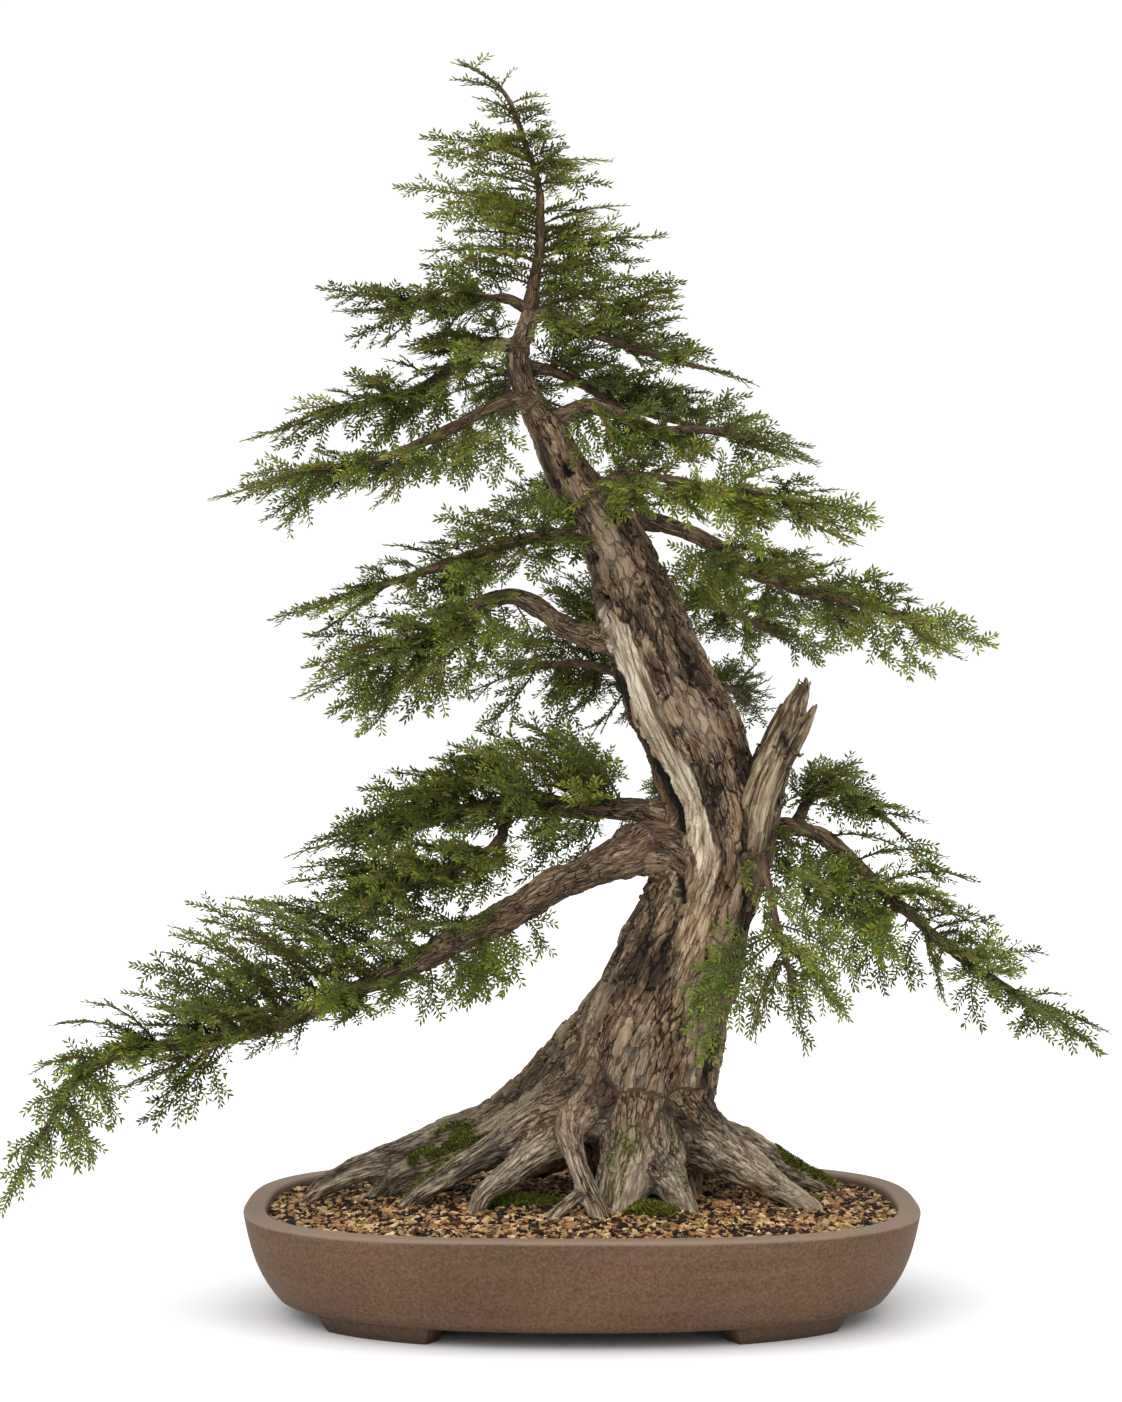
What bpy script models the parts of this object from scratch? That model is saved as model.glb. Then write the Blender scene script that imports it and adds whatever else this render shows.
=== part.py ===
"""A conifer bonsai in an oval tray pot: pot, drainage, soil, moss, trunk, branches and foliage pads.

Metres, +Z up. The origin is on the table, below the middle of the tree's spread. -Y is the viewing side.
Every node is one closed solid, kept a small gap clear of its neighbours. Run it in Blender 4.5.
"""

import math

import bmesh
import bpy
from mathutils import Vector

# Driving dimensions of the pot.
POT_CENTRE_X = 0.016
POT_HALF_X = 0.260
POT_HALF_Y = 0.200
POT_HEIGHT = 0.084
RIM_WIDTH = 0.018
RIM_ROUND = 0.004
FOOT_HEIGHT = 0.0117
FOOT_SPAN = (0.575, 1.13)
FOOT_SLOPE = 0.045
BASE_RECESS = 0.0040
FLOOR_THICKNESS = 0.010
FLOOR_TOP = FOOT_HEIGHT + BASE_RECESS + FLOOR_THICKNESS
BASE_SQUARENESS = 2.25
RIM_SQUARENESS = 2.90
OVAL_SIDES = 48

# How the wall comes in towards the base: a slight lean, and a round shoulder low down.
WALL_LEAN = 0.0115
WALL_ROUND = 0.0155
WALL_POWER = 3.1

# The wall's thickness, the flat margin round the recess under the base, and the width of a foot.
WALL_THICKNESS = 0.015
BASE_MARGIN = 0.028
FOOT_OUTER_INSET = 0.006
FOOT_WIDTH = 0.018

# Drainage: two holes with a screen each, and two small holes for the anchor wire.
DRAIN_X = 0.105
DRAIN_RADIUS = 0.013
WIRE_HOLE_X = 0.055
WIRE_HOLE_Y = 0.072
WIRE_HOLE_RADIUS = 0.003
SCREEN_SIDE = 0.040
SCREEN_THICKNESS = 0.0012
SCREEN_HOLE = 0.0050
SCREEN_PITCH = 0.0075
SCREEN_HOLES_ACROSS = 5
STAPLE_RADIUS = 0.00075
ANCHOR_RADIUS = 0.00125

# Soil surface: a low mound that meets the pot wall below the rim.
SOIL_EDGE_Z = 0.0765
SOIL_MOUND = 0.012

# The trunk's skin: the voxel it is rebuilt with, and the share of its faces that is kept.
TRUNK_VOXEL = 0.0035
TRUNK_THINNING = 0.045

# Clearance between touching solids.
GAP = 0.0003
CUT_GAP = 0.0006

# The share of a pad's width and height added where its neighbours are cut back from it.
PAD_CLEARANCE = 0.02

# The trunk's line from below the soil to where the leader starts: x, y, z and radius.
TRUNK_LINE = (
    (0.066, 0.000, 0.052, 0.058),
    (0.062, 0.000, 0.120, 0.058),
    (0.058, 0.000, 0.165, 0.056),
    (0.063, 0.002, 0.205, 0.055),
    (0.078, 0.005, 0.250, 0.053),
    (0.100, 0.008, 0.295, 0.047),
    (0.117, 0.010, 0.340, 0.045),
    (0.120, 0.009, 0.370, 0.042),
    (0.117, 0.007, 0.400, 0.038),
    (0.102, 0.003, 0.445, 0.037),
    (0.082, -0.002, 0.487, 0.037),
    (0.067, -0.006, 0.522, 0.035),
    (0.050, -0.009, 0.573, 0.029),
    (0.034, -0.009, 0.607, 0.025),
    (0.007, -0.006, 0.645, 0.019),
    (-0.011, -0.004, 0.683, 0.015),
    (-0.027, -0.002, 0.711, 0.0110),
    (-0.034, 0.000, 0.738, 0.0100),
    (-0.026, 0.002, 0.765, 0.0085),
    (-0.022, 0.004, 0.785, 0.0065),
)

# The thin leader above the trunk, up to the leaning tip.
LEADER_LINE = (
    (-0.0218, 0.004, 0.7865, 0.0058),
    (-0.016, 0.003, 0.822, 0.0042),
    (-0.016, 0.001, 0.850, 0.0032),
    (-0.018, -0.001, 0.878, 0.0026),
    (-0.028, -0.003, 0.905, 0.0022),
    (-0.038, -0.004, 0.933, 0.0018),
    (-0.050, -0.005, 0.950, 0.0016),
)

# Surface roots, from inside the trunk to where they dive into the soil: x, y, z and radius.
ROOT_LINES = (
    ((0.050, 0.004, 0.240, 0.028), (0.020, 0.010, 0.190, 0.034), (-0.035, 0.020, 0.146, 0.027),
     (-0.090, 0.035, 0.122, 0.020), (-0.145, 0.055, 0.106, 0.012), (-0.188, 0.070, 0.086, 0.008),
     (-0.205, 0.075, 0.070, 0.006)),
    ((-0.120, 0.020, 0.106, 0.008), (-0.160, 0.006, 0.100, 0.007), (-0.194, 0.000, 0.084, 0.006),
     (-0.204, -0.003, 0.068, 0.005)),
    ((0.020, -0.010, 0.165, 0.034), (-0.040, -0.008, 0.132, 0.022), (-0.090, 0.002, 0.112, 0.016),
     (-0.125, 0.012, 0.098, 0.013), (-0.144, 0.016, 0.080, 0.010), (-0.150, 0.018, 0.064, 0.008)),
    ((0.030, -0.030, 0.165, 0.030), (-0.015, -0.045, 0.150, 0.019), (-0.052, -0.050, 0.129, 0.013),
     (-0.087, -0.048, 0.108, 0.011), (-0.112, -0.043, 0.090, 0.009), (-0.130, -0.042, 0.068, 0.007)),
    ((0.010, -0.045, 0.150, 0.018), (-0.017, -0.062, 0.130, 0.013), (-0.043, -0.072, 0.110, 0.011),
     (-0.060, -0.075, 0.095, 0.009), (-0.066, -0.076, 0.070, 0.008)),
    ((0.020, -0.045, 0.165, 0.017), (0.006, -0.073, 0.148, 0.012), (0.012, -0.088, 0.125, 0.009),
     (0.020, -0.092, 0.104, 0.009), (0.028, -0.095, 0.085, 0.009), (0.030, -0.095, 0.066, 0.009)),
    ((0.020, -0.090, 0.104, 0.007), (0.005, -0.099, 0.095, 0.0065), (-0.008, -0.104, 0.083, 0.006),
     (-0.014, -0.106, 0.070, 0.006)),
    ((0.060, -0.030, 0.165, 0.042), (0.054, -0.055, 0.125, 0.032), (0.045, -0.068, 0.098, 0.024),
     (0.040, -0.074, 0.070, 0.018)),
    ((0.070, -0.050, 0.130, 0.026), (0.083, -0.061, 0.105, 0.016), (0.095, -0.068, 0.087, 0.010),
     (0.101, -0.072, 0.068, 0.008)),
    ((0.075, -0.020, 0.165, 0.038), (0.115, -0.030, 0.131, 0.024), (0.145, -0.035, 0.110, 0.017),
     (0.170, -0.035, 0.095, 0.012), (0.192, -0.035, 0.081, 0.009), (0.203, -0.035, 0.068, 0.007)),
    ((0.080, 0.010, 0.175, 0.035), (0.120, 0.020, 0.139, 0.023), (0.158, 0.035, 0.117, 0.017),
     (0.190, 0.050, 0.099, 0.012), (0.210, 0.060, 0.083, 0.009), (0.219, 0.065, 0.069, 0.007)),
    ((0.040, 0.030, 0.155, 0.034), (0.000, 0.075, 0.116, 0.022), (-0.030, 0.105, 0.091, 0.014),
     (-0.045, 0.120, 0.068, 0.009)),
    ((0.075, 0.030, 0.155, 0.034), (0.100, 0.080, 0.113, 0.021), (0.120, 0.112, 0.088, 0.013),
     (0.128, 0.122, 0.068, 0.009)),
    ((0.058, 0.030, 0.145, 0.032), (0.050, 0.085, 0.104, 0.019), (0.044, 0.112, 0.084, 0.013),
     (0.042, 0.122, 0.067, 0.010)),
)

# The dead, splintered stub on the right: its body and three prongs.
SNAG_LINES = (
    ((0.138, 0.000, 0.310, 0.016), (0.146, -0.003, 0.355, 0.018), (0.153, -0.006, 0.395, 0.018),
     (0.166, -0.008, 0.430, 0.013), (0.180, -0.009, 0.462, 0.008), (0.190, -0.010, 0.488, 0.003)),
    ((0.160, -0.008, 0.410, 0.011), (0.182, -0.014, 0.442, 0.007), (0.196, -0.017, 0.467, 0.003)),
    ((0.155, 0.000, 0.410, 0.011), (0.163, 0.002, 0.442, 0.006), (0.172, 0.003, 0.468, 0.003)),
)

# Branch lines from the trunk to the last thick wood: x, y and z.
# base and tip are radii. The pad is the foliage on it: share of the line where it starts, half width
# across the branch, half thickness, and how far it runs past the last point.
BRANCHES = {
    "left_long": dict(
        line=((0.095, 0.000, 0.347), (0.070, -0.010, 0.353), (0.030, -0.020, 0.345), (-0.005, -0.030, 0.327),
              (-0.045, -0.040, 0.303), (-0.090, -0.050, 0.285), (-0.135, -0.055, 0.262),
              (-0.190, -0.060, 0.235), (-0.240, -0.065, 0.219), (-0.290, -0.070, 0.212)),
        base=0.018, tip=0.005, pad=(0.40, 0.092, 0.044, 0.050)),
    "left_long_tip": dict(
        line=((-0.291, -0.070, 0.212), (-0.330, -0.074, 0.205), (-0.365, -0.078, 0.186),
              (-0.385, -0.080, 0.156), (-0.402, -0.083, 0.128)),
        base=0.0045, tip=0.0020, pad=(0.20, 0.044, 0.026, 0.042)),
    "left_shelf": dict(
        line=((0.100, 0.010, 0.372), (0.075, 0.020, 0.386), (0.045, 0.030, 0.388), (0.015, 0.038, 0.386),
              (-0.012, 0.042, 0.390), (-0.045, 0.046, 0.389), (-0.090, 0.050, 0.380), (-0.135, 0.052, 0.364)),
        base=0.0115, tip=0.004, pad=(0.40, 0.088, 0.044, 0.078)),
    "left_lower_front": dict(
        line=((-0.045, 0.034, 0.376), (-0.050, 0.000, 0.360), (-0.080, -0.030, 0.342), (-0.120, -0.045, 0.326),
              (-0.150, -0.052, 0.318)),
        base=0.0045, tip=0.002, pad=(0.25, 0.062, 0.030, 0.062)),
    "left_middle": dict(
        line=((0.052, -0.012, 0.515), (0.024, -0.022, 0.522), (0.002, -0.030, 0.529), (-0.014, -0.035, 0.542),
              (-0.033, -0.040, 0.550), (-0.055, -0.045, 0.546), (-0.080, -0.052, 0.532), (-0.115, -0.060, 0.516),
              (-0.155, -0.068, 0.500)),
        base=0.0100, tip=0.003, pad=(0.50, 0.082, 0.040, 0.072)),
    "left_middle_upper": dict(
        line=((0.036, -0.012, 0.602), (0.010, -0.022, 0.600), (-0.035, -0.032, 0.592), (-0.080, -0.038, 0.578),
              (-0.125, -0.042, 0.563), (-0.160, -0.046, 0.553)),
        base=0.0065, tip=0.0025, pad=(0.20, 0.078, 0.034, 0.075)),
    "left_upper": dict(
        line=((-0.028, 0.000, 0.742), (-0.050, -0.005, 0.748), (-0.080, -0.012, 0.733), (-0.110, -0.018, 0.712),
              (-0.145, -0.022, 0.703), (-0.185, -0.026, 0.693)),
        base=0.0062, tip=0.0022, pad=(0.32, 0.070, 0.030, 0.070)),
    "left_upper_low": dict(
        line=((-0.018, -0.006, 0.700), (-0.045, -0.018, 0.700), (-0.080, -0.034, 0.682), (-0.125, -0.050, 0.660),
              (-0.170, -0.060, 0.648), (-0.205, -0.064, 0.640)),
        base=0.0062, tip=0.0022, pad=(0.24, 0.074, 0.030, 0.070)),
    "left_top": dict(
        line=((-0.026, 0.003, 0.776), (-0.045, 0.000, 0.784), (-0.075, -0.006, 0.782), (-0.110, -0.010, 0.781),
              (-0.140, -0.014, 0.784)),
        base=0.0040, tip=0.0020, pad=(0.22, 0.062, 0.030, 0.052)),
    "right_top": dict(
        line=((-0.024, 0.002, 0.768), (-0.004, -0.005, 0.774), (0.018, -0.012, 0.758), (0.050, -0.018, 0.745),
              (0.090, -0.022, 0.733), (0.110, -0.024, 0.728)),
        base=0.0050, tip=0.0020, pad=(0.25, 0.068, 0.028, 0.050)),
    "right_upper": dict(
        line=((-0.030, 0.004, 0.732), (-0.010, 0.018, 0.730), (0.015, 0.032, 0.720), (0.055, 0.048, 0.704),
              (0.105, 0.058, 0.690), (0.150, 0.062, 0.678)),
        base=0.0055, tip=0.0020, pad=(0.28, 0.073, 0.028, 0.056)),
    "right_middle": dict(
        line=((-0.002, -0.008, 0.690), (0.018, -0.015, 0.697), (0.040, -0.022, 0.693), (0.075, -0.030, 0.680),
              (0.110, -0.036, 0.679), (0.150, -0.042, 0.671)),
        base=0.0072, tip=0.0025, pad=(0.36, 0.058, 0.026, 0.060)),
    "right_front": dict(
        line=((0.024, -0.016, 0.628), (0.040, -0.055, 0.640), (0.068, -0.090, 0.638), (0.110, -0.115, 0.630),
              (0.154, -0.128, 0.622), (0.188, -0.134, 0.617)),
        base=0.0055, tip=0.0020, pad=(0.22, 0.082, 0.034, 0.062)),
    "right_long": dict(
        line=((0.045, -0.002, 0.600), (0.062, 0.004, 0.613), (0.090, 0.006, 0.606), (0.128, 0.006, 0.590),
              (0.155, 0.005, 0.568), (0.195, 0.002, 0.556), (0.240, 0.000, 0.545), (0.285, -0.004, 0.534)),
        base=0.0085, tip=0.0025, pad=(0.30, 0.088, 0.038, 0.062)),
    "right_back": dict(
        line=((0.070, 0.012, 0.530), (0.090, 0.048, 0.545), (0.120, 0.085, 0.546), (0.155, 0.112, 0.535),
              (0.180, 0.128, 0.524)),
        base=0.0055, tip=0.0020, pad=(0.34, 0.068, 0.030, 0.058)),
    "right_back_low": dict(
        line=((0.100, 0.018, 0.460), (0.118, 0.055, 0.478), (0.138, 0.090, 0.480), (0.152, 0.120, 0.470)),
        base=0.0045, tip=0.0020, pad=(0.36, 0.052, 0.024, 0.050)),
    "right_low": dict(
        line=((0.130, 0.005, 0.352), (0.172, 0.006, 0.372), (0.200, 0.004, 0.366), (0.235, -0.002, 0.338),
              (0.270, -0.008, 0.306), (0.310, -0.014, 0.274), (0.350, -0.020, 0.246), (0.380, -0.024, 0.227)),
        base=0.0085, tip=0.0025, pad=(0.24, 0.084, 0.042, 0.050)),
    "right_low_upper": dict(
        line=((0.186, 0.018, 0.377), (0.196, 0.040, 0.392), (0.222, 0.055, 0.398), (0.255, 0.065, 0.380),
              (0.275, 0.070, 0.362)),
        base=0.0045, tip=0.0020, pad=(0.28, 0.062, 0.028, 0.055)),
    "right_low_front": dict(
        line=((0.142, -0.030, 0.350), (0.152, -0.060, 0.350), (0.158, -0.092, 0.325), (0.164, -0.112, 0.290),
              (0.172, -0.122, 0.258)),
        base=0.0060, tip=0.0020, pad=(0.32, 0.084, 0.024, 0.056)),
    "back_left": dict(
        line=((0.080, 0.022, 0.470), (0.055, 0.058, 0.486), (0.025, 0.085, 0.500), (-0.010, 0.105, 0.500),
              (-0.045, 0.118, 0.490)),
        base=0.0060, tip=0.0020, pad=(0.32, 0.068, 0.032, 0.052)),
    "back_low": dict(
        line=((0.120, 0.030, 0.385), (0.118, 0.066, 0.412), (0.106, 0.098, 0.416), (0.090, 0.128, 0.402),
              (0.078, 0.145, 0.388)),
        base=0.0090, tip=0.0025, pad=(0.32, 0.094, 0.034, 0.058)),
    "back_upper": dict(
        line=((0.030, 0.008, 0.618), (0.022, 0.050, 0.634), (0.018, 0.090, 0.632), (0.018, 0.130, 0.615)),
        base=0.0060, tip=0.0020, pad=(0.30, 0.083, 0.030, 0.056)),
    "back_top": dict(
        line=((-0.028, 0.004, 0.712), (-0.036, 0.035, 0.724), (-0.042, 0.065, 0.722), (-0.046, 0.095, 0.712)),
        base=0.0040, tip=0.0018, pad=(0.30, 0.067, 0.026, 0.050)),
}

# Foliage round the leader: centre of its lower end and upper end, with half widths at both.
APEX_PADS = {
    "foliage_apex_low": dict(low=(-0.014, 0.798), high=(-0.026, 0.868), wide=(0.106, 0.082), deep=0.85),
    "foliage_apex_top": dict(low=(-0.028, 0.869), high=(-0.058, 0.972), wide=(0.078, 0.022), deep=0.85),
}

# Moss on the soil between the roots: x, y, half length, half width and height.
MOSS_PATCHES = {
    "moss_front_left": (-0.032, -0.050, 0.034, 0.017, 0.009),
    "moss_front_centre": (0.066, -0.084, 0.022, 0.014, 0.010),
    "moss_right": (0.178, 0.004, 0.024, 0.016, 0.007),
}


def material(name, colour, roughness):
    """A plain Principled material."""
    made = bpy.data.materials.new(name)
    made.use_nodes = True
    shader = made.node_tree.nodes["Principled BSDF"]
    shader.inputs["Base Color"].default_value = (*colour, 1.0)
    shader.inputs["Roughness"].default_value = roughness
    return made


def add_object(name, data, collection, finish=None):
    obj = bpy.data.objects.new(name, data)
    collection.objects.link(obj)
    if finish is not None:
        data.materials.append(finish)
    return obj


def smooth_line(points, steps):
    """Points on one smooth curve through the given ones, with every coordinate carried along."""
    padded = [points[0], *points, points[-1]]
    line = []
    for a, b, c, d in zip(padded, padded[1:], padded[2:], padded[3:]):
        for i in range(steps):
            t = i / steps
            line.append(tuple(
                0.5 * (2 * q + (r - p) * t + (2 * p - 5 * q + 4 * r - s) * t * t + (3 * q - p - 3 * r + s) * t**3)
                for p, q, r, s in zip(a, b, c, d)))
    line.append(tuple(points[-1]))
    return line


def evenly(line, count):
    """The line resampled to count points at equal distances."""
    lengths = [0.0]
    for a, b in zip(line, line[1:]):
        lengths.append(lengths[-1] + (Vector(b[:3]) - Vector(a[:3])).length)
    result, k = [], 0
    for i in range(count):
        at = lengths[-1] * i / (count - 1)
        while k < len(line) - 2 and lengths[k + 1] < at:
            k += 1
        t = (at - lengths[k]) / max(lengths[k + 1] - lengths[k], 1e-9)
        result.append(tuple(p + (q - p) * min(t, 1.0) for p, q in zip(line[k], line[k + 1])))
    return result


def curve_mesh(name, line, radii, collection, profile=None, bevel_resolution=2):
    """A closed mesh swept along the line. profile is (half width, half height) of a flat section."""
    curve = bpy.data.curves.new(name, "CURVE")
    curve.dimensions = "3D"
    curve.use_fill_caps = True
    curve.twist_mode = "MINIMUM" if profile is None else "Z_UP"
    section = None
    if profile is None:
        curve.bevel_depth = 1.0
        curve.bevel_resolution = bevel_resolution
    else:
        section = section_curve(name + "_section", *profile)
        curve.bevel_mode = "OBJECT"
        curve.bevel_object = section
    spline = curve.splines.new("POLY")
    spline.points.add(len(line) - 1)
    for point, place, radius in zip(spline.points, line, radii):
        point.co = (*place[:3], 1.0)
        point.radius = radius
    source = add_object(name + "_sweep", curve, collection)
    graph = bpy.context.evaluated_depsgraph_get()
    graph.update()
    mesh = bpy.data.meshes.new_from_object(source.evaluated_get(graph), depsgraph=graph)
    mesh.name = name
    bpy.data.objects.remove(source)
    if section is not None:
        bpy.data.objects.remove(section)
    close_mesh(mesh)
    return mesh


def section_curve(name, half_width, half_height, sides=8):
    """A flat closed outline for a pad's section."""
    curve = bpy.data.curves.new(name, "CURVE")
    spline = curve.splines.new("POLY")
    spline.use_cyclic_u = True
    spline.points.add(sides - 1)
    for i, point in enumerate(spline.points):
        turn = math.tau * (i + 0.5) / sides
        point.co = (half_width * math.cos(turn), half_height * math.sin(turn), 0.0, 1.0)
    return add_object(name, curve, bpy.context.scene.collection)


def longer(line, gap):
    """The line with both its ends moved out by gap, so that a clearance tube covers the caps too."""
    first, second, last, before = (Vector(line[i][:3]) for i in (0, 1, -1, -2))
    start = first + (first - second).normalized() * gap
    end = last + (last - before).normalized() * gap
    return [tuple(start), *line[1:-1], tuple(end)]


def close_mesh(mesh):
    """Welds loose caps to their sides and turns every face outward."""
    work = bmesh.new()
    work.from_mesh(mesh)
    bmesh.ops.remove_doubles(work, verts=work.verts, dist=1e-5)
    bmesh.ops.recalc_face_normals(work, faces=work.faces)
    work.to_mesh(mesh)
    work.free()


def oval_point(half_x, half_y, z, turn):
    c, s = math.cos(turn), math.sin(turn)
    power = 2.0 / (BASE_SQUARENESS + (RIM_SQUARENESS - BASE_SQUARENESS) * z / POT_HEIGHT)
    return Vector((POT_CENTRE_X + half_x * math.copysign(abs(c) ** power, c),
                   half_y * math.copysign(abs(s) ** power, s), z))


def oval_loft(name, rings, sides=OVAL_SIDES):
    """A closed solid through oval rings, each given as half x, half y and z."""
    work = bmesh.new()
    loops = []
    for half_x, half_y, z in rings:
        loops.append([work.verts.new(oval_point(half_x, half_y, z, math.tau * i / sides)) for i in range(sides)])
    for low, high in zip(loops, loops[1:]):
        for i in range(sides):
            j = (i + 1) % sides
            work.faces.new((low[i], low[j], high[j], high[i]))
    work.faces.new(list(reversed(loops[0])))
    work.faces.new(loops[-1])
    bmesh.ops.recalc_face_normals(work, faces=work.faces)
    mesh = bpy.data.meshes.new(name)
    work.to_mesh(mesh)
    work.free()
    return mesh


def pot_side(height_share):
    """How far the pot's outer wall stands in from the rim's line at this share of its height."""
    down = 1.0 - height_share
    return WALL_LEAN * down + WALL_ROUND * down**WALL_POWER


def pot_rings():
    """The pot's section from the recess under it, up the outer wall, over the rim and down inside."""
    base_x, base_y = POT_HALF_X - pot_side(0.0), POT_HALF_Y - pot_side(0.0)
    recess_x, recess_y = base_x - BASE_MARGIN, base_y - BASE_MARGIN
    rings = [
        (recess_x - BASE_RECESS, recess_y - BASE_RECESS, FOOT_HEIGHT + BASE_RECESS),
        (recess_x, recess_y, FOOT_HEIGHT + BASE_RECESS),
        (recess_x, recess_y, FOOT_HEIGHT),
        (base_x - FOOT_OUTER_INSET, base_y - FOOT_OUTER_INSET, FOOT_HEIGHT),
    ]
    for share in (0.03, 0.12, 0.25, 0.42, 0.62, 0.84):
        inset = pot_side(share)
        z = FOOT_HEIGHT + (POT_HEIGHT - RIM_ROUND - FOOT_HEIGHT) * share
        rings.append((POT_HALF_X - inset, POT_HALF_Y - inset, z))
    rings.append((POT_HALF_X, POT_HALF_Y, POT_HEIGHT - RIM_ROUND))
    rings.append((POT_HALF_X - 0.3 * RIM_ROUND, POT_HALF_Y - 0.3 * RIM_ROUND, POT_HEIGHT - 0.3 * RIM_ROUND))
    rings.append((POT_HALF_X - RIM_ROUND, POT_HALF_Y - RIM_ROUND, POT_HEIGHT))
    rings.append((POT_HALF_X - RIM_WIDTH + 0.002, POT_HALF_Y - RIM_WIDTH + 0.002, POT_HEIGHT))
    rings += inner_wall_rings(0.0)
    return rings


def inner_wall_rings(clear):
    """The inside of the wall from just under the rim down to the floor, moved inwards by clear."""
    rings = []
    for share in (0.94, 0.60, 0.34, 0.16):
        inset = WALL_THICKNESS + pot_side(share) + clear
        z = FOOT_HEIGHT + (POT_HEIGHT - FOOT_HEIGHT) * share
        rings.append((POT_HALF_X - inset, POT_HALF_Y - inset, max(z, FLOOR_TOP + 0.001)))
    last_x, last_y, _ = rings.pop()
    rings.append((last_x - 0.004, last_y - 0.004, FLOOR_TOP + clear))
    return rings


def foot(turn_low, turn_high, name, collection):
    """One bracket foot: a stretch of the base's outline with ends that slope in towards the ground."""
    steps = 6
    out_x, out_y = POT_HALF_X - pot_side(0.0), POT_HALF_Y - pot_side(0.0)
    work = bmesh.new()
    sections = []
    for i in range(steps + 1):
        share = i / steps
        top = turn_low + (turn_high - turn_low) * share
        bottom = turn_low + FOOT_SLOPE + (turn_high - turn_low - 2 * FOOT_SLOPE) * share
        outer, inner = FOOT_OUTER_INSET, FOOT_OUTER_INSET + FOOT_WIDTH
        corners = ((out_x - outer + 0.004, out_y - outer + 0.004, FOOT_HEIGHT + 0.002, top),
                   (out_x - outer, out_y - outer, 0.0, bottom),
                   (out_x - inner, out_y - inner, 0.0, bottom),
                   (out_x - inner - 0.002, out_y - inner - 0.002, FOOT_HEIGHT + 0.002, top))
        sections.append([work.verts.new(oval_point(*corner)) for corner in corners])
    for a, b in zip(sections, sections[1:]):
        for k in range(4):
            work.faces.new((a[k], a[(k + 1) % 4], b[(k + 1) % 4], b[k]))
    work.faces.new(sections[0])
    work.faces.new(sections[-1])
    bmesh.ops.recalc_face_normals(work, faces=work.faces)
    mesh = bpy.data.meshes.new(name)
    work.to_mesh(mesh)
    work.free()
    return helper(name, mesh, collection)


def helper(name, mesh, collection):
    """A cutter or a joined-in shape, which isn't a node."""
    obj = add_object(name, mesh, collection)
    obj.hide_render = True
    obj.display_type = "WIRE"
    return obj


def cylinder(name, x, y, low, high, radius, collection, sides=16):
    work = bmesh.new()
    bmesh.ops.create_cone(work, cap_ends=True, segments=sides, radius1=radius, radius2=radius, depth=high - low)
    bmesh.ops.translate(work, verts=work.verts, vec=(x, y, (low + high) / 2))
    mesh = bpy.data.meshes.new(name)
    work.to_mesh(mesh)
    work.free()
    return helper(name, mesh, collection)


def block(name, centre, sides, collection):
    work = bmesh.new()
    bmesh.ops.create_cube(work, size=1.0)
    bmesh.ops.scale(work, verts=work.verts, vec=sides)
    bmesh.ops.translate(work, verts=work.verts, vec=centre)
    mesh = bpy.data.meshes.new(name)
    work.to_mesh(mesh)
    work.free()
    return helper(name, mesh, collection)


def combine(obj, others, operation, solver="EXACT"):
    """Applies one Boolean for each other object, then keeps the largest closed piece."""
    for other in others:
        step = obj.modifiers.new(operation.title(), "BOOLEAN")
        step.operation = operation
        step.object = other
        step.solver = solver
    if others:
        bpy.context.view_layer.update()
        graph = bpy.context.evaluated_depsgraph_get()
        mesh = bpy.data.meshes.new_from_object(obj.evaluated_get(graph), depsgraph=graph)
        obj.modifiers.clear()
        keep_largest(mesh)
        obj.data = mesh


def keep_largest(mesh):
    """Removes every loose piece of the mesh but the one with the most volume."""
    work = bmesh.new()
    work.from_mesh(mesh)
    bmesh.ops.remove_doubles(work, verts=work.verts, dist=2e-5)
    bmesh.ops.dissolve_degenerate(work, edges=work.edges, dist=2e-5)
    left, pieces = set(work.faces), []
    while left:
        todo, piece = [left.pop()], []
        while todo:
            face = todo.pop()
            piece.append(face)
            for edge in face.edges:
                for near in edge.link_faces:
                    if near in left:
                        left.remove(near)
                        todo.append(near)
        pieces.append(piece)

    def volume(piece):
        total = 0.0
        for face in piece:
            corners = [v.co for v in face.verts]
            for b, c in zip(corners[1:], corners[2:]):
                total += corners[0].dot(b.cross(c)) / 6
        return abs(total)

    pieces.sort(key=volume, reverse=True)
    drop = [face for piece in pieces[1:] for face in piece]
    bmesh.ops.delete(work, geom=drop, context="FACES")
    loose = [v for v in work.verts if not v.link_faces]
    bmesh.ops.delete(work, geom=loose, context="VERTS")
    work.to_mesh(mesh)
    work.free()


def corners_of(obj):
    places = [obj.matrix_world @ v.co for v in obj.data.vertices]
    return ([min(p[k] for p in places) for k in range(3)], [max(p[k] for p in places) for k in range(3)])


def near(obj, other):
    (low_a, high_a), (low_b, high_b) = corners_of(obj), corners_of(other)
    return all(low_a[k] < high_b[k] and low_b[k] < high_a[k] for k in range(3))


def inflated(name, mesh, gap, collection):
    """A copy of the mesh moved outwards by gap, to cut clearance with."""
    work = bmesh.new()
    work.from_mesh(mesh)
    work.normal_update()
    for vert, push in [(v, v.normal * gap) for v in work.verts]:
        vert.co += push
    made = bpy.data.meshes.new(name)
    work.to_mesh(made)
    work.free()
    return helper(name, made, collection)


def taper(count, base, tip, flare=1.35):
    """Radii along a branch, with a collar where it leaves the trunk."""
    radii = []
    for i in range(count):
        t = i / (count - 1)
        radius = base + (tip - base) * t**0.8
        radii.append(radius * (1 + (flare - 1) * max(0.0, 1 - t / 0.16) ** 2))
    return radii


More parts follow.
